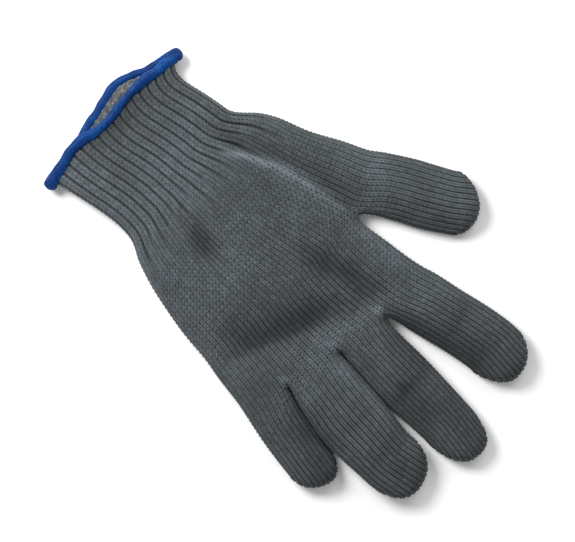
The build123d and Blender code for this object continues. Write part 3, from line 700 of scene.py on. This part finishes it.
# painted highlight along the gusset's ridge and painted shade just beside it
gather_and_shade_fine = (gather_and_shade_fine - crease * (1.10 * (1 - 0.6 * smooth(share, 0.35, 0.8)) * np.exp(-((side + 0.8) / (1.7 + 2.2 * smooth(share, 0.15, 0.5))) ** 2)
                               - 0.3 * np.exp(-((side - 3.4) / 2.0) ** 2))).astype(np.float32)


def wale_direction(co):
    """The step, in mm, from one wale to the next at every vertex."""
    p0, p1, p3 = co[quads[:, 0]], co[quads[:, 1]], co[quads[:, 3]]
    d1, d2 = quv[:, 1] - quv[:, 0], quv[:, 3] - quv[:, 0]
    det = d1[:, 0] * d2[:, 1] - d2[:, 0] * d1[:, 1]
    step = ((p1 - p0) * d2[:, 1:2] - (p3 - p0) * d1[:, 1:2]) / np.where(np.abs(det) < 1e-6, 1e-6, det)[:, None]
    total, count = np.zeros_like(co), np.zeros(len(co))
    for k in range(4):
        np.add.at(total, quads[:, k], step)
        np.add.at(count, quads[:, k], 1)
    return total / np.maximum(count, 1)[:, None]


# the rib's knit wales draw together over its purl wale
squeezed = np.sign(off) * np.where(np.abs(off) < 0.5, np.abs(off) * 0.50, 0.25 + (np.abs(off) - 0.5) * 1.25)
side_step = (squeezed - off) * rib_on * np.where(vert_u > HAND_HALF, -1.0, 1.0)
side_step *= smooth(np.minimum(am, HAND_HALF - am), 0.2, 1.5)
out = co + N * lift[:, None] + wale_direction(co) * side_step[:, None]
# the underside rests on the table
out[:, 2] = np.where(out[:, 2] < 0.30, 0.03 + 0.27 * np.exp((out[:, 2] - 0.30) / 0.27), out[:, 2])
N2 = vertex_normals(out)
# painted shade in the knit's crevices between strands, deeper where the cloth is gathered, and in the rib's purl
# grooves
lat = 0.30 + 0.34 * stretch + 0.25 * rib_on
cavity_shade = np.clip((1 - lat) * legs + lat * wave, 0, 1)
cavity_shade = np.clip(cavity_shade - 0.25 * gathered_and_shaded * (1 - legs), 0, 1)
rib_groove_shade = np.clip(1 - rib_on * np.exp(-(off / 0.36) ** 2) * 0.82, 0, 1)


# ------------------------------------------------------------------ materials
def new_material(name):
    m = bpy.data.materials.new(name)
    m.use_nodes = True
    nt = m.node_tree
    nt.nodes.clear()
    o = nt.nodes.new("ShaderNodeOutputMaterial")
    b = nt.nodes.new("ShaderNodeBsdfPrincipled")
    nt.links.new(b.outputs[0], o.inputs[0])
    return m, nt, b


class Nodes:
    def __init__(self, nt):
        self.nt = nt

    def link(self, a, b):
        self.nt.links.new(a, b)

    def math(self, op, a, b=None, c=None, clamp=False):
        n = self.nt.nodes.new("ShaderNodeMath")
        n.operation = op
        n.use_clamp = clamp
        for k, v in enumerate((a, b, c)):
            if v is None:
                continue
            if isinstance(v, (int, float)):
                n.inputs[k].default_value = v
            else:
                self.link(v, n.inputs[k])
        return n.outputs[0]

    def attr(self, name, out="Fac"):
        n = self.nt.nodes.new("ShaderNodeAttribute")
        n.attribute_name = name
        return n.outputs[out]

    def noise(self, vec, scale, detail=2.0, rough=0.5):
        n = self.nt.nodes.new("ShaderNodeTexNoise")
        n.inputs["Scale"].default_value = scale
        n.inputs["Detail"].default_value = detail
        n.inputs["Roughness"].default_value = rough
        self.link(vec, n.inputs["Vector"])
        return n.outputs["Fac"]

    def ramp(self, fac, stops):
        n = self.nt.nodes.new("ShaderNodeValToRGB")
        e = n.color_ramp.elements
        while len(e) < len(stops):
            e.new(0.5)
        for k, (p, c) in enumerate(stops):
            e[k].position = p
            e[k].color = (*c, 1)
        self.link(fac, n.inputs[0])
        return n.outputs[0]

    def mix(self, fac, a, b, blend="MIX"):
        n = self.nt.nodes.new("ShaderNodeMix")
        n.data_type = "RGBA"
        n.blend_type = blend
        for key, v in ((0, fac), (6, a), (7, b)):
            if isinstance(v, (int, float)):
                n.inputs[key].default_value = v
            elif isinstance(v, tuple):
                n.inputs[key].default_value = (*v, 1)
            else:
                self.link(v, n.inputs[key])
        return n.outputs[2]

    def bump(self, height, distance, strength=1.0, normal=None):
        n = self.nt.nodes.new("ShaderNodeBump")
        n.inputs["Distance"].default_value = distance
        n.inputs["Strength"].default_value = strength
        self.link(height, n.inputs["Height"])
        if normal is not None:
            self.link(normal, n.inputs["Normal"])
        return n.outputs[0]


def knit_material(name="grey_knit_yarn", dark=(0.046, 0.057, 0.056), mid=(0.074, 0.089, 0.095),
                  light=(0.124, 0.146, 0.168), crevice_shade=(0.005, 0.0062, 0.0063)):
    m, nt, b = new_material(name)
    g = Nodes(nt)
    uv = nt.nodes.new("ShaderNodeUVMap"); uv.uv_map = "knit"
    sep = nt.nodes.new("ShaderNodeSeparateXYZ"); g.link(uv.outputs[0], sep.inputs[0])
    u, v = sep.outputs[0], sep.outputs[1]
    fu = g.math("FRACT", u)
    s = g.math("ABSOLUTE", g.math("SUBTRACT", g.math("MULTIPLY", fu, 2.0), 1.0))
    # the strand: rising from the wale's border to its middle, one per course
    ph = g.math("FRACT", g.math("SUBTRACT", v, g.math("MULTIPLY", s, 0.55)))
    c = g.math("SUBTRACT", g.math("MULTIPLY", ph, 2.0), 1.0)
    leg = g.math("SQRT", g.math("SUBTRACT", 1.0, g.math("MULTIPLY", g.math("ABSOLUTE", c), g.math("ABSOLUTE", c)), clamp=True))
    border = g.math("POWER", s, 5.0)
    centre = g.math("POWER", g.math("SUBTRACT", 1.0, s), 6.0)
    strand = g.math("MULTIPLY", leg, g.math("SUBTRACT", g.math("SUBTRACT", 1.0, g.math("MULTIPLY", border, 0.9)),
                                           g.math("MULTIPLY", centre, 0.7)), clamp=True)
    # the ply's twist: short slanting lines along each strand
    tw = g.math("SINE", g.math("ADD", g.math("MULTIPLY", ph, 8.0), g.math("MULTIPLY", g.math("ADD", s, v), 26.0)))
    rest = g.attr("rest_co", "Vector")
    fine_noise = g.noise(rest, 2400.0, 3.0, 0.6)
    mottle = g.noise(rest, 520.0, 3.0, 0.7)
    patch = g.noise(rest, 95.0, 2.0, 0.5)
    broad = g.noise(rest, 22.0, 2.0, 0.5)
    height = g.math("ADD", g.math("MULTIPLY", strand, 0.8),
                    g.math("ADD", g.math("MULTIPLY", tw, 0.06), g.math("MULTIPLY", fine_noise, 0.22)))
    cav_shade = g.attr("cavity_shade")
    rib = g.attr("rib_groove_shade")
    # each stitch has its own tone, and a few are open at the foot, painted dark with shade
    cell = nt.nodes.new("ShaderNodeCombineXYZ")
    g.link(g.math("FLOOR", u), cell.inputs[0])
    g.link(g.math("FLOOR", g.math("SUBTRACT", v, g.math("MULTIPLY", s, 0.5))), cell.inputs[1])
    wn = nt.nodes.new("ShaderNodeTexWhiteNoise"); wn.noise_dimensions = "2D"
    g.link(cell.outputs[0], wn.inputs["Vector"])
    per = wn.outputs["Value"]
    hole = g.math("MULTIPLY", g.math("GREATER_THAN", per, 0.90), g.math("SUBTRACT", 1.0, cav_shade))
    # painted shade: the near-black crevice colour fills the knit's crevices, off the strands' crests, and the open
    # stitches
    depth = g.math("MULTIPLY", g.math("MULTIPLY_ADD", cav_shade, 1.15, -0.15),
                   g.math("MULTIPLY_ADD", strand, 0.45, 0.75))
    depth = g.math("MULTIPLY", g.math("MULTIPLY", depth, g.math("MULTIPLY_ADD", per, 0.50, 1.02)), rib)
    # painted shade where the cloth field is above zero, darkening the yarn
    painted_shade_light = g.attr("painted_shade_light")
    depth = g.math("MULTIPLY", depth, g.math("MULTIPLY_ADD", painted_shade_light, -0.42, 1.0))
    depth = g.math("SUBTRACT", depth, g.math("MULTIPLY", hole, 0.40), clamp=True)
    tone = g.math("ADD", g.math("ADD", g.math("MULTIPLY", mottle, 0.46), g.math("MULTIPLY", broad, 0.20)),
                  g.math("MULTIPLY_ADD", patch, 0.12, 0.11))
    # painted light where the cloth field is below zero, lightening the yarn
    tone = g.math("ADD", tone, g.math("MULTIPLY", g.math("MINIMUM", painted_shade_light, 0.0), -0.13))
    yarn = g.ramp(tone, [(0.36, dark), (0.50, mid), (0.64, light)])
    g.link(g.mix(depth, crevice_shade, yarn), b.inputs["Base Color"])
    b.inputs["Roughness"].default_value = 0.80
    b.inputs["Specular IOR Level"].default_value = 0.35
    b.inputs["Sheen Weight"].default_value = 0.08
    b.inputs["Sheen Roughness"].default_value = 0.5
    b.inputs["Sheen Tint"].default_value = (0.75, 0.80, 0.85, 1)
    g.link(g.bump(height, 0.0005, 0.9), b.inputs["Normal"])
    return m


knit_mat = knit_material()


# ------------------------------------------------------------------ pieces
def make_piece(name, face_mask, co, normals, mat, extra=None):
    f = quads[face_mask]
    used, inv = np.unique(f, return_inverse=True)
    f = inv.reshape(-1, 4)
    me = bpy.data.meshes.new(name)
    me.vertices.add(len(used))
    me.vertices.foreach_set("co", (co[used] * MM).astype(np.float32).ravel())
    me.loops.add(f.size)
    me.loops.foreach_set("vertex_index", f.astype(np.int32).ravel())
    me.polygons.add(len(f))
    me.polygons.foreach_set("loop_start", np.arange(0, f.size, 4, dtype=np.int32))
    me.polygons.foreach_set("loop_total", np.full(len(f), 4, np.int32))
    me.update(calc_edges=True)
    layer = me.uv_layers.new(name="knit")
    layer.data.foreach_set("uv", quv[face_mask].astype(np.float32).ravel())
    for key, data in (("cavity_shade", cavity_shade), ("rib_groove_shade", rib_groove_shade), ("painted_shade_light", gather_and_shade_fine + painted_edge_shade)):
        at = me.attributes.new(key, "FLOAT", "POINT")
        at.data.foreach_set("value", data[used].astype(np.float32))
    at = me.attributes.new("rest_co", "FLOAT_VECTOR", "POINT")
    at.data.foreach_set("vector", (co[used] * MM).astype(np.float32).ravel())
    me.polygons.foreach_set("use_smooth", np.ones(len(f), bool))
    me.materials.append(mat)
    me.normals_split_custom_set_from_vertices(normals[used].tolist())
    ob = bpy.data.objects.new(name, me)
    bpy.context.scene.collection.objects.link(ob)
    return ob


objects = {}
for k, name in enumerate(PIECES):
    objects[name] = make_piece("knit_" + name, lab == k, out, N2, knit_mat)

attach(objects["cuff"], "cuff")
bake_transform(objects["wrist"])
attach(objects["palm_face"], "palm")
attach(objects["palm_back"], "palm")
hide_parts("palm_knit")
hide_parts("palm_knit")
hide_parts("cuff_rib")
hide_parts("wrist_fold")
for name, D in DIGITS.items():
    d = np.array([*D["along"], 0.0])
    parts = ["_root", "_tip"] if name == "thumb" else ["_root", "_knuckle", "_tip"]
    nodes = ([["thumb_root_fold", "thumb_tube"], ["thumb_tip_fold", "thumb_tip"]] if name == "thumb" else
             [[name + "_root_fold", name + "_proximal_tube"], [name + "_knuckle_fold", name + "_middle_tube"],
              [name + "_tip_fold", name + "_fingertip"]])
    for k, part in enumerate(parts):
        s0, e0 = D["zones"][k]
        ob = objects[name + part]
        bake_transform(ob)
        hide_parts(*nodes[k])


# ------------------------------------------------------------------ the cuff's lining, elastic and edge
def grid_mesh(name, P, UV, closed, mat, attrs=None, uv_name="knit", flip=False, cap=False):
    """A mesh from a grid of points; closed says whether each row closes on itself."""
    rows, ring = P.shape[:2]
    n = ring if closed else ring - 1
    j, a = np.meshgrid(np.arange(rows - 1), np.arange(n), indexing="ij")
    b = (a + 1) % ring
    q = np.stack([j * ring + a, j * ring + b, (j + 1) * ring + b, (j + 1) * ring + a], -1).reshape(-1, 4)
    uj, ua = j.astype(float), a.astype(float)
    quv_ = np.stack([np.stack([ua, uj], -1), np.stack([ua + 1, uj], -1), np.stack([ua + 1, uj + 1], -1),
                     np.stack([ua, uj + 1], -1)], -2).reshape(-1, 4, 2) * np.array(UV)
    if flip:
        q, quv_ = q[:, ::-1], quv_[:, ::-1]
    me = bpy.data.meshes.new(name)
    me.from_pydata((P.reshape(-1, 3) * MM).tolist(), [], q.tolist())
    layer = me.uv_layers.new(name=uv_name)
    layer.data.foreach_set("uv", quv_.astype(np.float32).ravel())
    at = me.attributes.new("rest_co", "FLOAT_VECTOR", "POINT")
    at.data.foreach_set("vector", (P * MM).astype(np.float32).ravel())
    for key, data in (attrs or {}).items():
        at = me.attributes.new(key, "FLOAT", "POINT")
        at.data.foreach_set("value", data.astype(np.float32).ravel())
    me.polygons.foreach_set("use_smooth", np.ones(len(q), bool))
    me.materials.append(mat)
    me.update()
    ob = bpy.data.objects.new(name, me)
    bpy.context.scene.collection.objects.link(ob)
    return ob


def periodic(P, n):
    """Resamples closed rows of points to n points each, evenly in index, smoothly."""
    m = P.shape[-2]
    t = np.arange(n) * m / n
    k = np.floor(t).astype(int)
    f = (t - k)[:, None]
    p0, p1, p2, p3 = (P[..., (k + d) % m, :] for d in (-1, 0, 1, 2))
    return 0.5 * (2 * p1 + (p2 - p0) * f + (2 * p0 - 5 * p1 + 4 * p2 - p3) * f ** 2 + (3 * p1 - p0 - 3 * p2 + p3) * f ** 3)


cage = V[H]                                   # the hand's cage, after relaxing
ring_mid = cage.mean(1)
tang = np.roll(cage, -1, 1) - np.roll(cage, 1, 1)
along = np.gradient(cage, axis=0)
nrm = np.cross(tang, along)
nrm /= np.maximum(np.linalg.norm(nrm, axis=2), 1e-9)[:, :, None]
if nrm[10, 26, 2] < 0:
    nrm = -nrm

# lining: the back of the rib, seen through the mouth
def deep_rows(limit):
    return int(np.argmax(cage[:, :, 1].mean(1) > limit))


jd = deep_rows(-84)
depth_l = np.concatenate([[0.9, 1.5], np.full(max(jd - 1, 0), 2.0)])[:jd + 1]
rows_l = cage[:jd + 1] - nrm[:jd + 1] * depth_l[:, None, None]
nl_, fine_v = (208, 4)
lin = periodic(rows_l, nl_)
t_rows = np.linspace(0, jd, jd * fine_v + 1)
k0 = np.clip(np.floor(t_rows).astype(int), 0, jd - 1)
lin = lin[k0] * (1 - (t_rows - k0))[:, None, None] + lin[k0 + 1] * (t_rows - k0)[:, None, None]
nin = periodic(nrm[:jd + 1], nl_)
nin = nin[k0]
uu, vv = np.meshgrid(np.arange(nl_) / 2.0, t_rows)
bump = 0.22 * np.cos(2 * math.pi * (vv + 0.25 * np.cos(math.pi * uu))) * (0.6 + 0.4 * np.cos(2 * math.pi * uu / 3))
amu = np.where(uu > HAND_HALF, 2 * HAND_HALF - uu, uu)
bump += 0.30 * np.exp(-(((amu - 26.5 + 1.5) % 3 - 1.5) / 0.5) ** 2)
lin = lin - nin * bump[:, :, None]
lining_mat = knit_material("cuff_lining_yarn", dark=(0.058, 0.067, 0.075), mid=(0.102, 0.116, 0.129),
                           light=(0.200, 0.207, 0.224), crevice_shade=(0.02, 0.022, 0.024))
nt = lining_mat.node_tree
bs = next(n for n in nt.nodes if n.type == "BSDF_PRINCIPLED")
g = Nodes(nt)
old = bs.inputs["Base Color"].links[0].from_socket
fleck = g.noise(g.attr("rest_co", "Vector"), 950.0, 2.0, 0.6)
fleck = g.ramp(fleck, [(0.56, (0, 0, 0)), (0.66, (1, 1, 1))])
g.link(g.mix(fleck, old, (0.235, 0.215, 0.205)), bs.inputs["Base Color"])
# painted shade in the lining's hollows, following its bumps
lining = grid_mesh("cuff_lining", lin, (0.5, 1.0 / fine_v), True, lining_mat,
                   {"cavity_shade": np.clip(0.5 + bump * 1.4, 0, 1), "rib_groove_shade": np.ones_like(bump)}, flip=True)
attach(lining, "cuff")


def yarn_mesh(P, radius, sides, closed, name, mat):
    """A round yarn along points, as one grid of points."""
    if closed:
        T = np.roll(P, -1, 0) - np.roll(P, 1, 0)
    else:
        T = np.gradient(P, axis=0)
    T /= np.linalg.norm(T, axis=1)[:, None]
    A = np.cross(T, [0, 1.0, 0])
    A /= np.maximum(np.linalg.norm(A, axis=1), 1e-9)[:, None]
    B = np.cross(T, A)
    th = np.arange(sides) / sides * 2 * math.pi
    r = radius if np.ndim(radius) == 0 else radius[:, None, None]
    return P[:, None] + (A[:, None] * np.cos(th)[None, :, None] + B[:, None] * np.sin(th)[None, :, None]) * r


# elastic: seven rings of covered rubber thread laid into the back of the rib
def elastic_material():
    m, nt, b = new_material("elastic_cover")
    g = Nodes(nt)
    uv = nt.nodes.new("ShaderNodeUVMap"); uv.uv_map = "knit"
    sep = nt.nodes.new("ShaderNodeSeparateXYZ"); g.link(uv.outputs[0], sep.inputs[0])
    lay = g.math("SINE", g.math("ADD", g.math("MULTIPLY", sep.outputs[0], 6.2832), g.math("MULTIPLY", sep.outputs[1], 5.0)))
    n = g.noise(g.attr("rest_co", "Vector"), 1400.0, 3.0, 0.6)
    # painted shade: the tone follows the wraps' relief, darker in the grooves between them
    tone = g.math("MULTIPLY_ADD", lay, 0.18, n)
    g.link(g.ramp(tone, [(0.3, (0.05, 0.05, 0.052)), (0.5, (0.13, 0.13, 0.135)), (0.75, (0.26, 0.25, 0.235))]), b.inputs["Base Color"])
    b.inputs["Roughness"].default_value = 0.62
    g.link(g.bump(g.math("ADD", lay, n), 0.00018, 0.8), b.inputs["Normal"])
    return m


elastic_mat = elastic_material()
elastic_parts = []
for k in range(7):
    yk = -114.0 + 4.9 * k
    j = deep_rows(yk)
    j = min(max(j, 1), HAND_ROWS - 1)
    f = np.clip((yk - cage[j - 1, :, 1].mean()) / (cage[j, :, 1].mean() - cage[j - 1, :, 1].mean()), 0, 1)
    ring_ = (cage[j - 1] * (1 - f) + cage[j] * f) - (nrm[j - 1] * (1 - f) + nrm[j] * f) * 2.65
    ring_ = periodic(ring_, 416)
    a_ = np.arange(416) / 4.0
    ring_[:, 1] += 0.45 * np.sin(2 * math.pi * a_ / 3 + k) + 0.25 * np.sin(a_ * 0.41 + 2 * k)
    elastic_parts.append(yarn_mesh(ring_, 0.38, 8, True, "", None))
verts_e, faces_e, uv_e = [], [], []
for P in elastic_parts:
    base_i = sum(len(v) for v in verts_e)
    m, sides = P.shape[:2]
    verts_e.append(P.reshape(-1, 3))
    for j in range(m):
        for a in range(sides):
            j2, a2 = (j + 1) % m, (a + 1) % sides
            faces_e.append([base_i + j * sides + a, base_i + j * sides + a2, base_i + j2 * sides + a2, base_i + j2 * sides + a])
            uv_e.append([(j / 4, a / 4), (j / 4, (a + 1) / 4), ((j + 1) / 4, (a + 1) / 4), ((j + 1) / 4, a / 4)])
verts_e = np.vstack(verts_e)
me = bpy.data.meshes.new("cuff_elastic")
me.from_pydata((verts_e * MM).tolist(), [], faces_e)
layer = me.uv_layers.new(name="knit")
layer.data.foreach_set("uv", np.array(uv_e, np.float32).ravel())
at = me.attributes.new("rest_co", "FLOAT_VECTOR", "POINT")
at.data.foreach_set("vector", (verts_e * MM).astype(np.float32).ravel())
me.polygons.foreach_set("use_smooth", np.ones(len(faces_e), bool))
me.materials.append(elastic_mat)
elastic = bpy.data.objects.new("cuff_elastic", me)
bpy.context.scene.collection.objects.link(elastic)
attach(elastic, "cuff")
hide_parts("cuff_elastic_yarns")


# edge: blue yarn overlocked round the mouth of the cuff
def edge_material():
    m, nt, b = new_material("blue_overlock_yarn")
    g = Nodes(nt)
    uv = nt.nodes.new("ShaderNodeUVMap"); uv.uv_map = "knit"
    sep = nt.nodes.new("ShaderNodeSeparateXYZ"); g.link(uv.outputs[0], sep.inputs[0])
    u, v = sep.outputs[0], sep.outputs[1]
    rest = g.attr("rest_co", "Vector")
    # the turns of thread, and the filaments in each
    turn = g.math("ADD", v, g.math("MULTIPLY", u, 0.9))
    cut = g.math("ABSOLUTE", g.math("SUBTRACT", g.math("MULTIPLY", g.math("FRACT", turn), 2.0), 1.0))
    fil = g.math("SINE", g.math("ADD", g.math("MULTIPLY", turn, 44.0), g.math("MULTIPLY", g.noise(rest, 700.0), 5.0)))
    n = g.noise(rest, 900.0, 3.0, 0.65)
    broad = g.noise(rest, 130.0, 2.0, 0.5)
    tone = g.math("ADD", g.math("MULTIPLY", n, 0.55), g.math("MULTIPLY", broad, 0.45))
    col = g.ramp(tone, [(0.34, (0.0002, 0.015, 0.082)), (0.50, (0.0003, 0.028, 0.138)), (0.66, (0.001, 0.066, 0.262))])
    # painted shade in the grooves between the turns of thread
    col = g.mix(g.math("MULTIPLY", g.math("POWER", cut, 6.0), 0.7), col, (0.002, 0.014, 0.075))
    g.link(col, b.inputs["Base Color"])
    b.inputs["Roughness"].default_value = 0.42
    b.inputs["Specular IOR Level"].default_value = 0.09
    b.inputs["Coat Weight"].default_value = 0.05
    b.inputs["Coat Roughness"].default_value = 0.18
    h = g.math("ADD", g.math("MULTIPLY", fil, 0.10), g.math("ADD", g.math("MULTIPLY", n, 0.35),
               g.math("MULTIPLY", g.math("SUBTRACT", 1.0, g.math("POWER", cut, 3.0)), 0.5)))
    g.link(g.bump(h, 0.00035, 0.8), b.inputs["Normal"])
    return m


TURNS = 132
M_E = TURNS * 8
SIDES = 24
mouth = cage[0].copy()
path = periodic(mouth, M_E)
seg = np.linalg.norm(np.roll(path, -1, 0) - path, axis=1)
cum = np.concatenate([[0], np.cumsum(seg)])
even = np.linspace(0, cum[-1], M_E, endpoint=False)
closed_path = np.vstack([path, path[:1]])
path = np.stack([np.interp(even, cum, closed_path[:, k]) for k in range(3)], 1)
for _ in range(10):
    path = path * 0.5 + 0.25 * (np.roll(path, 1, 0) + np.roll(path, -1, 0))
# the edge flares a little past the rib at both ends
pinched = smooth(path[:, 0], 45, 54) + smooth(-path[:, 0], 20, 29)
path[:, 2] = MID + 0.2 + (path[:, 2] - MID - 0.2) * (1 - 0.6 * pinched)
path[:, 0] += 2.8 * smooth(path[:, 0], 42, 56) - 3.0 * smooth(-path[:, 0], 16, 31)
path[:, 1] += 0.8 * smooth(-path[:, 0], 22, 33)
sp = even / cum[-1]
T = np.roll(path, -1, 0) - np.roll(path, 1, 0)
T /= np.linalg.norm(T, axis=1)[:, None]
fwd = np.array([0, 1.0, 0]) - T * T[:, 1:2]                      # towards the fingers, along the cloth
fwd /= np.linalg.norm(fwd, axis=1)[:, None]
outw = np.cross(T, fwd)                                          # out of the cloth
centre_xz = np.array([11.0, 0, MID])
flip_ = ((path - centre_xz) * outw * [0.02, 0, 1]).sum(1) < 0
if flip_.mean() > 0.5:
    outw = -outw
upper = smooth(path[:, 2], MID - 1.5, MID + 1.5)
end_k = smooth(np.abs(path[:, 0] - 12), 34, 43)
gape = smooth(path[:, 0], -11, -2) * (1 - smooth(path[:, 0], 16, 26))
point = smooth(-path[:, 0], 24, 33)
wide = 2.45 + 0.25 * upper + (0.25 - 0.80 * upper) * gape + 0.30 * end_k - 0.75 * point + 0.13 * np.sin(sp * 2 * math.pi * 9 + 1.0) + 0.10 * np.sin(sp * 2 * math.pi * 23)
thick = 1.65 + 0.10 * upper + 0.35 * end_k
th = np.arange(SIDES) / SIDES * 2 * math.pi
cth, sth = np.cos(th), np.sin(th)
turn = even / cum[-1] * TURNS
phase = turn[:, None] + 0.9 * (th / (2 * math.pi))[None]
lobe = np.abs(np.sin(math.pi * phase))
relief_e = 0.10 * (lobe - 0.6)
bite = np.clip(cth, 0, 1)[None] ** 4 * (0.40 * (0.5 + 0.5 * np.cos(2 * math.pi * turn / 2.0))[:, None])
rw = wide[:, None] + relief_e + bite
rt = thick[:, None] + relief_e
shift = 0.45 * upper * gape + 0.15 * (1 - upper) * gape - 0.2 + 0.18 * np.sin(sp * 2 * math.pi * 7 + 0.5) + 0.12 * np.sin(sp * 2 * math.pi * 17)
E = (path[:, None] + fwd[:, None] * (shift[:, None, None] + (rw * cth[None])[:, :, None])
     + outw[:, None] * (rt * sth[None])[:, :, None])
E[:, :, 2] = np.maximum(E[:, :, 2], 0.03)
E = np.concatenate([E, E[:1]], 0)
binding = grid_mesh("cuff_edge", E, (1.0 / SIDES, TURNS / M_E), True, edge_material(), flip=True)
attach(binding, "cuff")
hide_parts("cuff_binding")



# ------------------------------------------------------------------ floor, light, camera
def stage():
    me = bpy.data.meshes.new("floor")
    s = 6.0
    me.from_pydata([(-s, -s, 0), (s, -s, 0), (s, s, 0), (-s, s, 0)], [], [(0, 1, 2, 3)])
    ob = bpy.data.objects.new("floor", me)
    bpy.context.scene.collection.objects.link(ob)
    m, nt, b = new_material("floor_white")
    b.inputs["Base Color"].default_value = (0.90, 0.90, 0.90, 1)
    b.inputs["Roughness"].default_value = 0.9
    b.inputs["Specular IOR Level"].default_value = 0.1
    me.materials.append(m)


stage()


def area_light(name, where, look, size, watts, colour=(1, 1, 1)):
    li = bpy.data.lights.new(name, "AREA")
    li.shape = "DISK"
    li.size = size
    li.energy = watts
    li.color = colour
    ob = bpy.data.objects.new(name, li)
    bpy.context.scene.collection.objects.link(ob)
    ob.location = where
    d = Vector(look) - Vector(where)
    ob.rotation_euler = d.to_track_quat("-Z", "Y").to_euler()
    return ob


area_light("key", (0.04, -0.70, 0.66), (0.0, 0.0, 0.0), 0.52, 11.6)
area_light("fill", (-1.0, -0.25, 0.8), (0.0, 0.0, 0.0), 0.9, 6.0)

world = bpy.data.worlds.new("studio")
bpy.context.scene.world = world
world.use_nodes = True
bg = world.node_tree.nodes["Background"]
bg.inputs[0].default_value = (1, 1, 1, 1)
bg.inputs[1].default_value = 0.52

scene = bpy.context.scene
scene.view_settings.view_transform = "Standard"
scene.view_settings.look = "None"
scene.view_settings.exposure = 0.0
scene.view_settings.gamma = 1.0

cam_data = bpy.data.cameras.new("camera")
cam = bpy.data.objects.new("camera", cam_data)
scene.collection.objects.link(cam)
scene.camera = cam
DIST = 1.9
cam_data.sensor_fit = "HORIZONTAL"
cam_data.sensor_width = 36.0
cam_data.lens = 36.0 * DIST / 0.2858
right = Vector((-0.673, 0.740, 0)).normalized()
up = Vector((-0.740, -0.673, 0)).normalized()
back = right.cross(up)
cam.matrix_world = Matrix(((right.x, up.x, back.x, 0.0100), (right.y, up.y, back.y, -0.0021),
                           (right.z, up.z, back.z, DIST + MID * MM), (0, 0, 0, 1)))
cam_data.clip_start = 0.05
cam_data.clip_end = 20.0
bpy.context.view_layer.update()
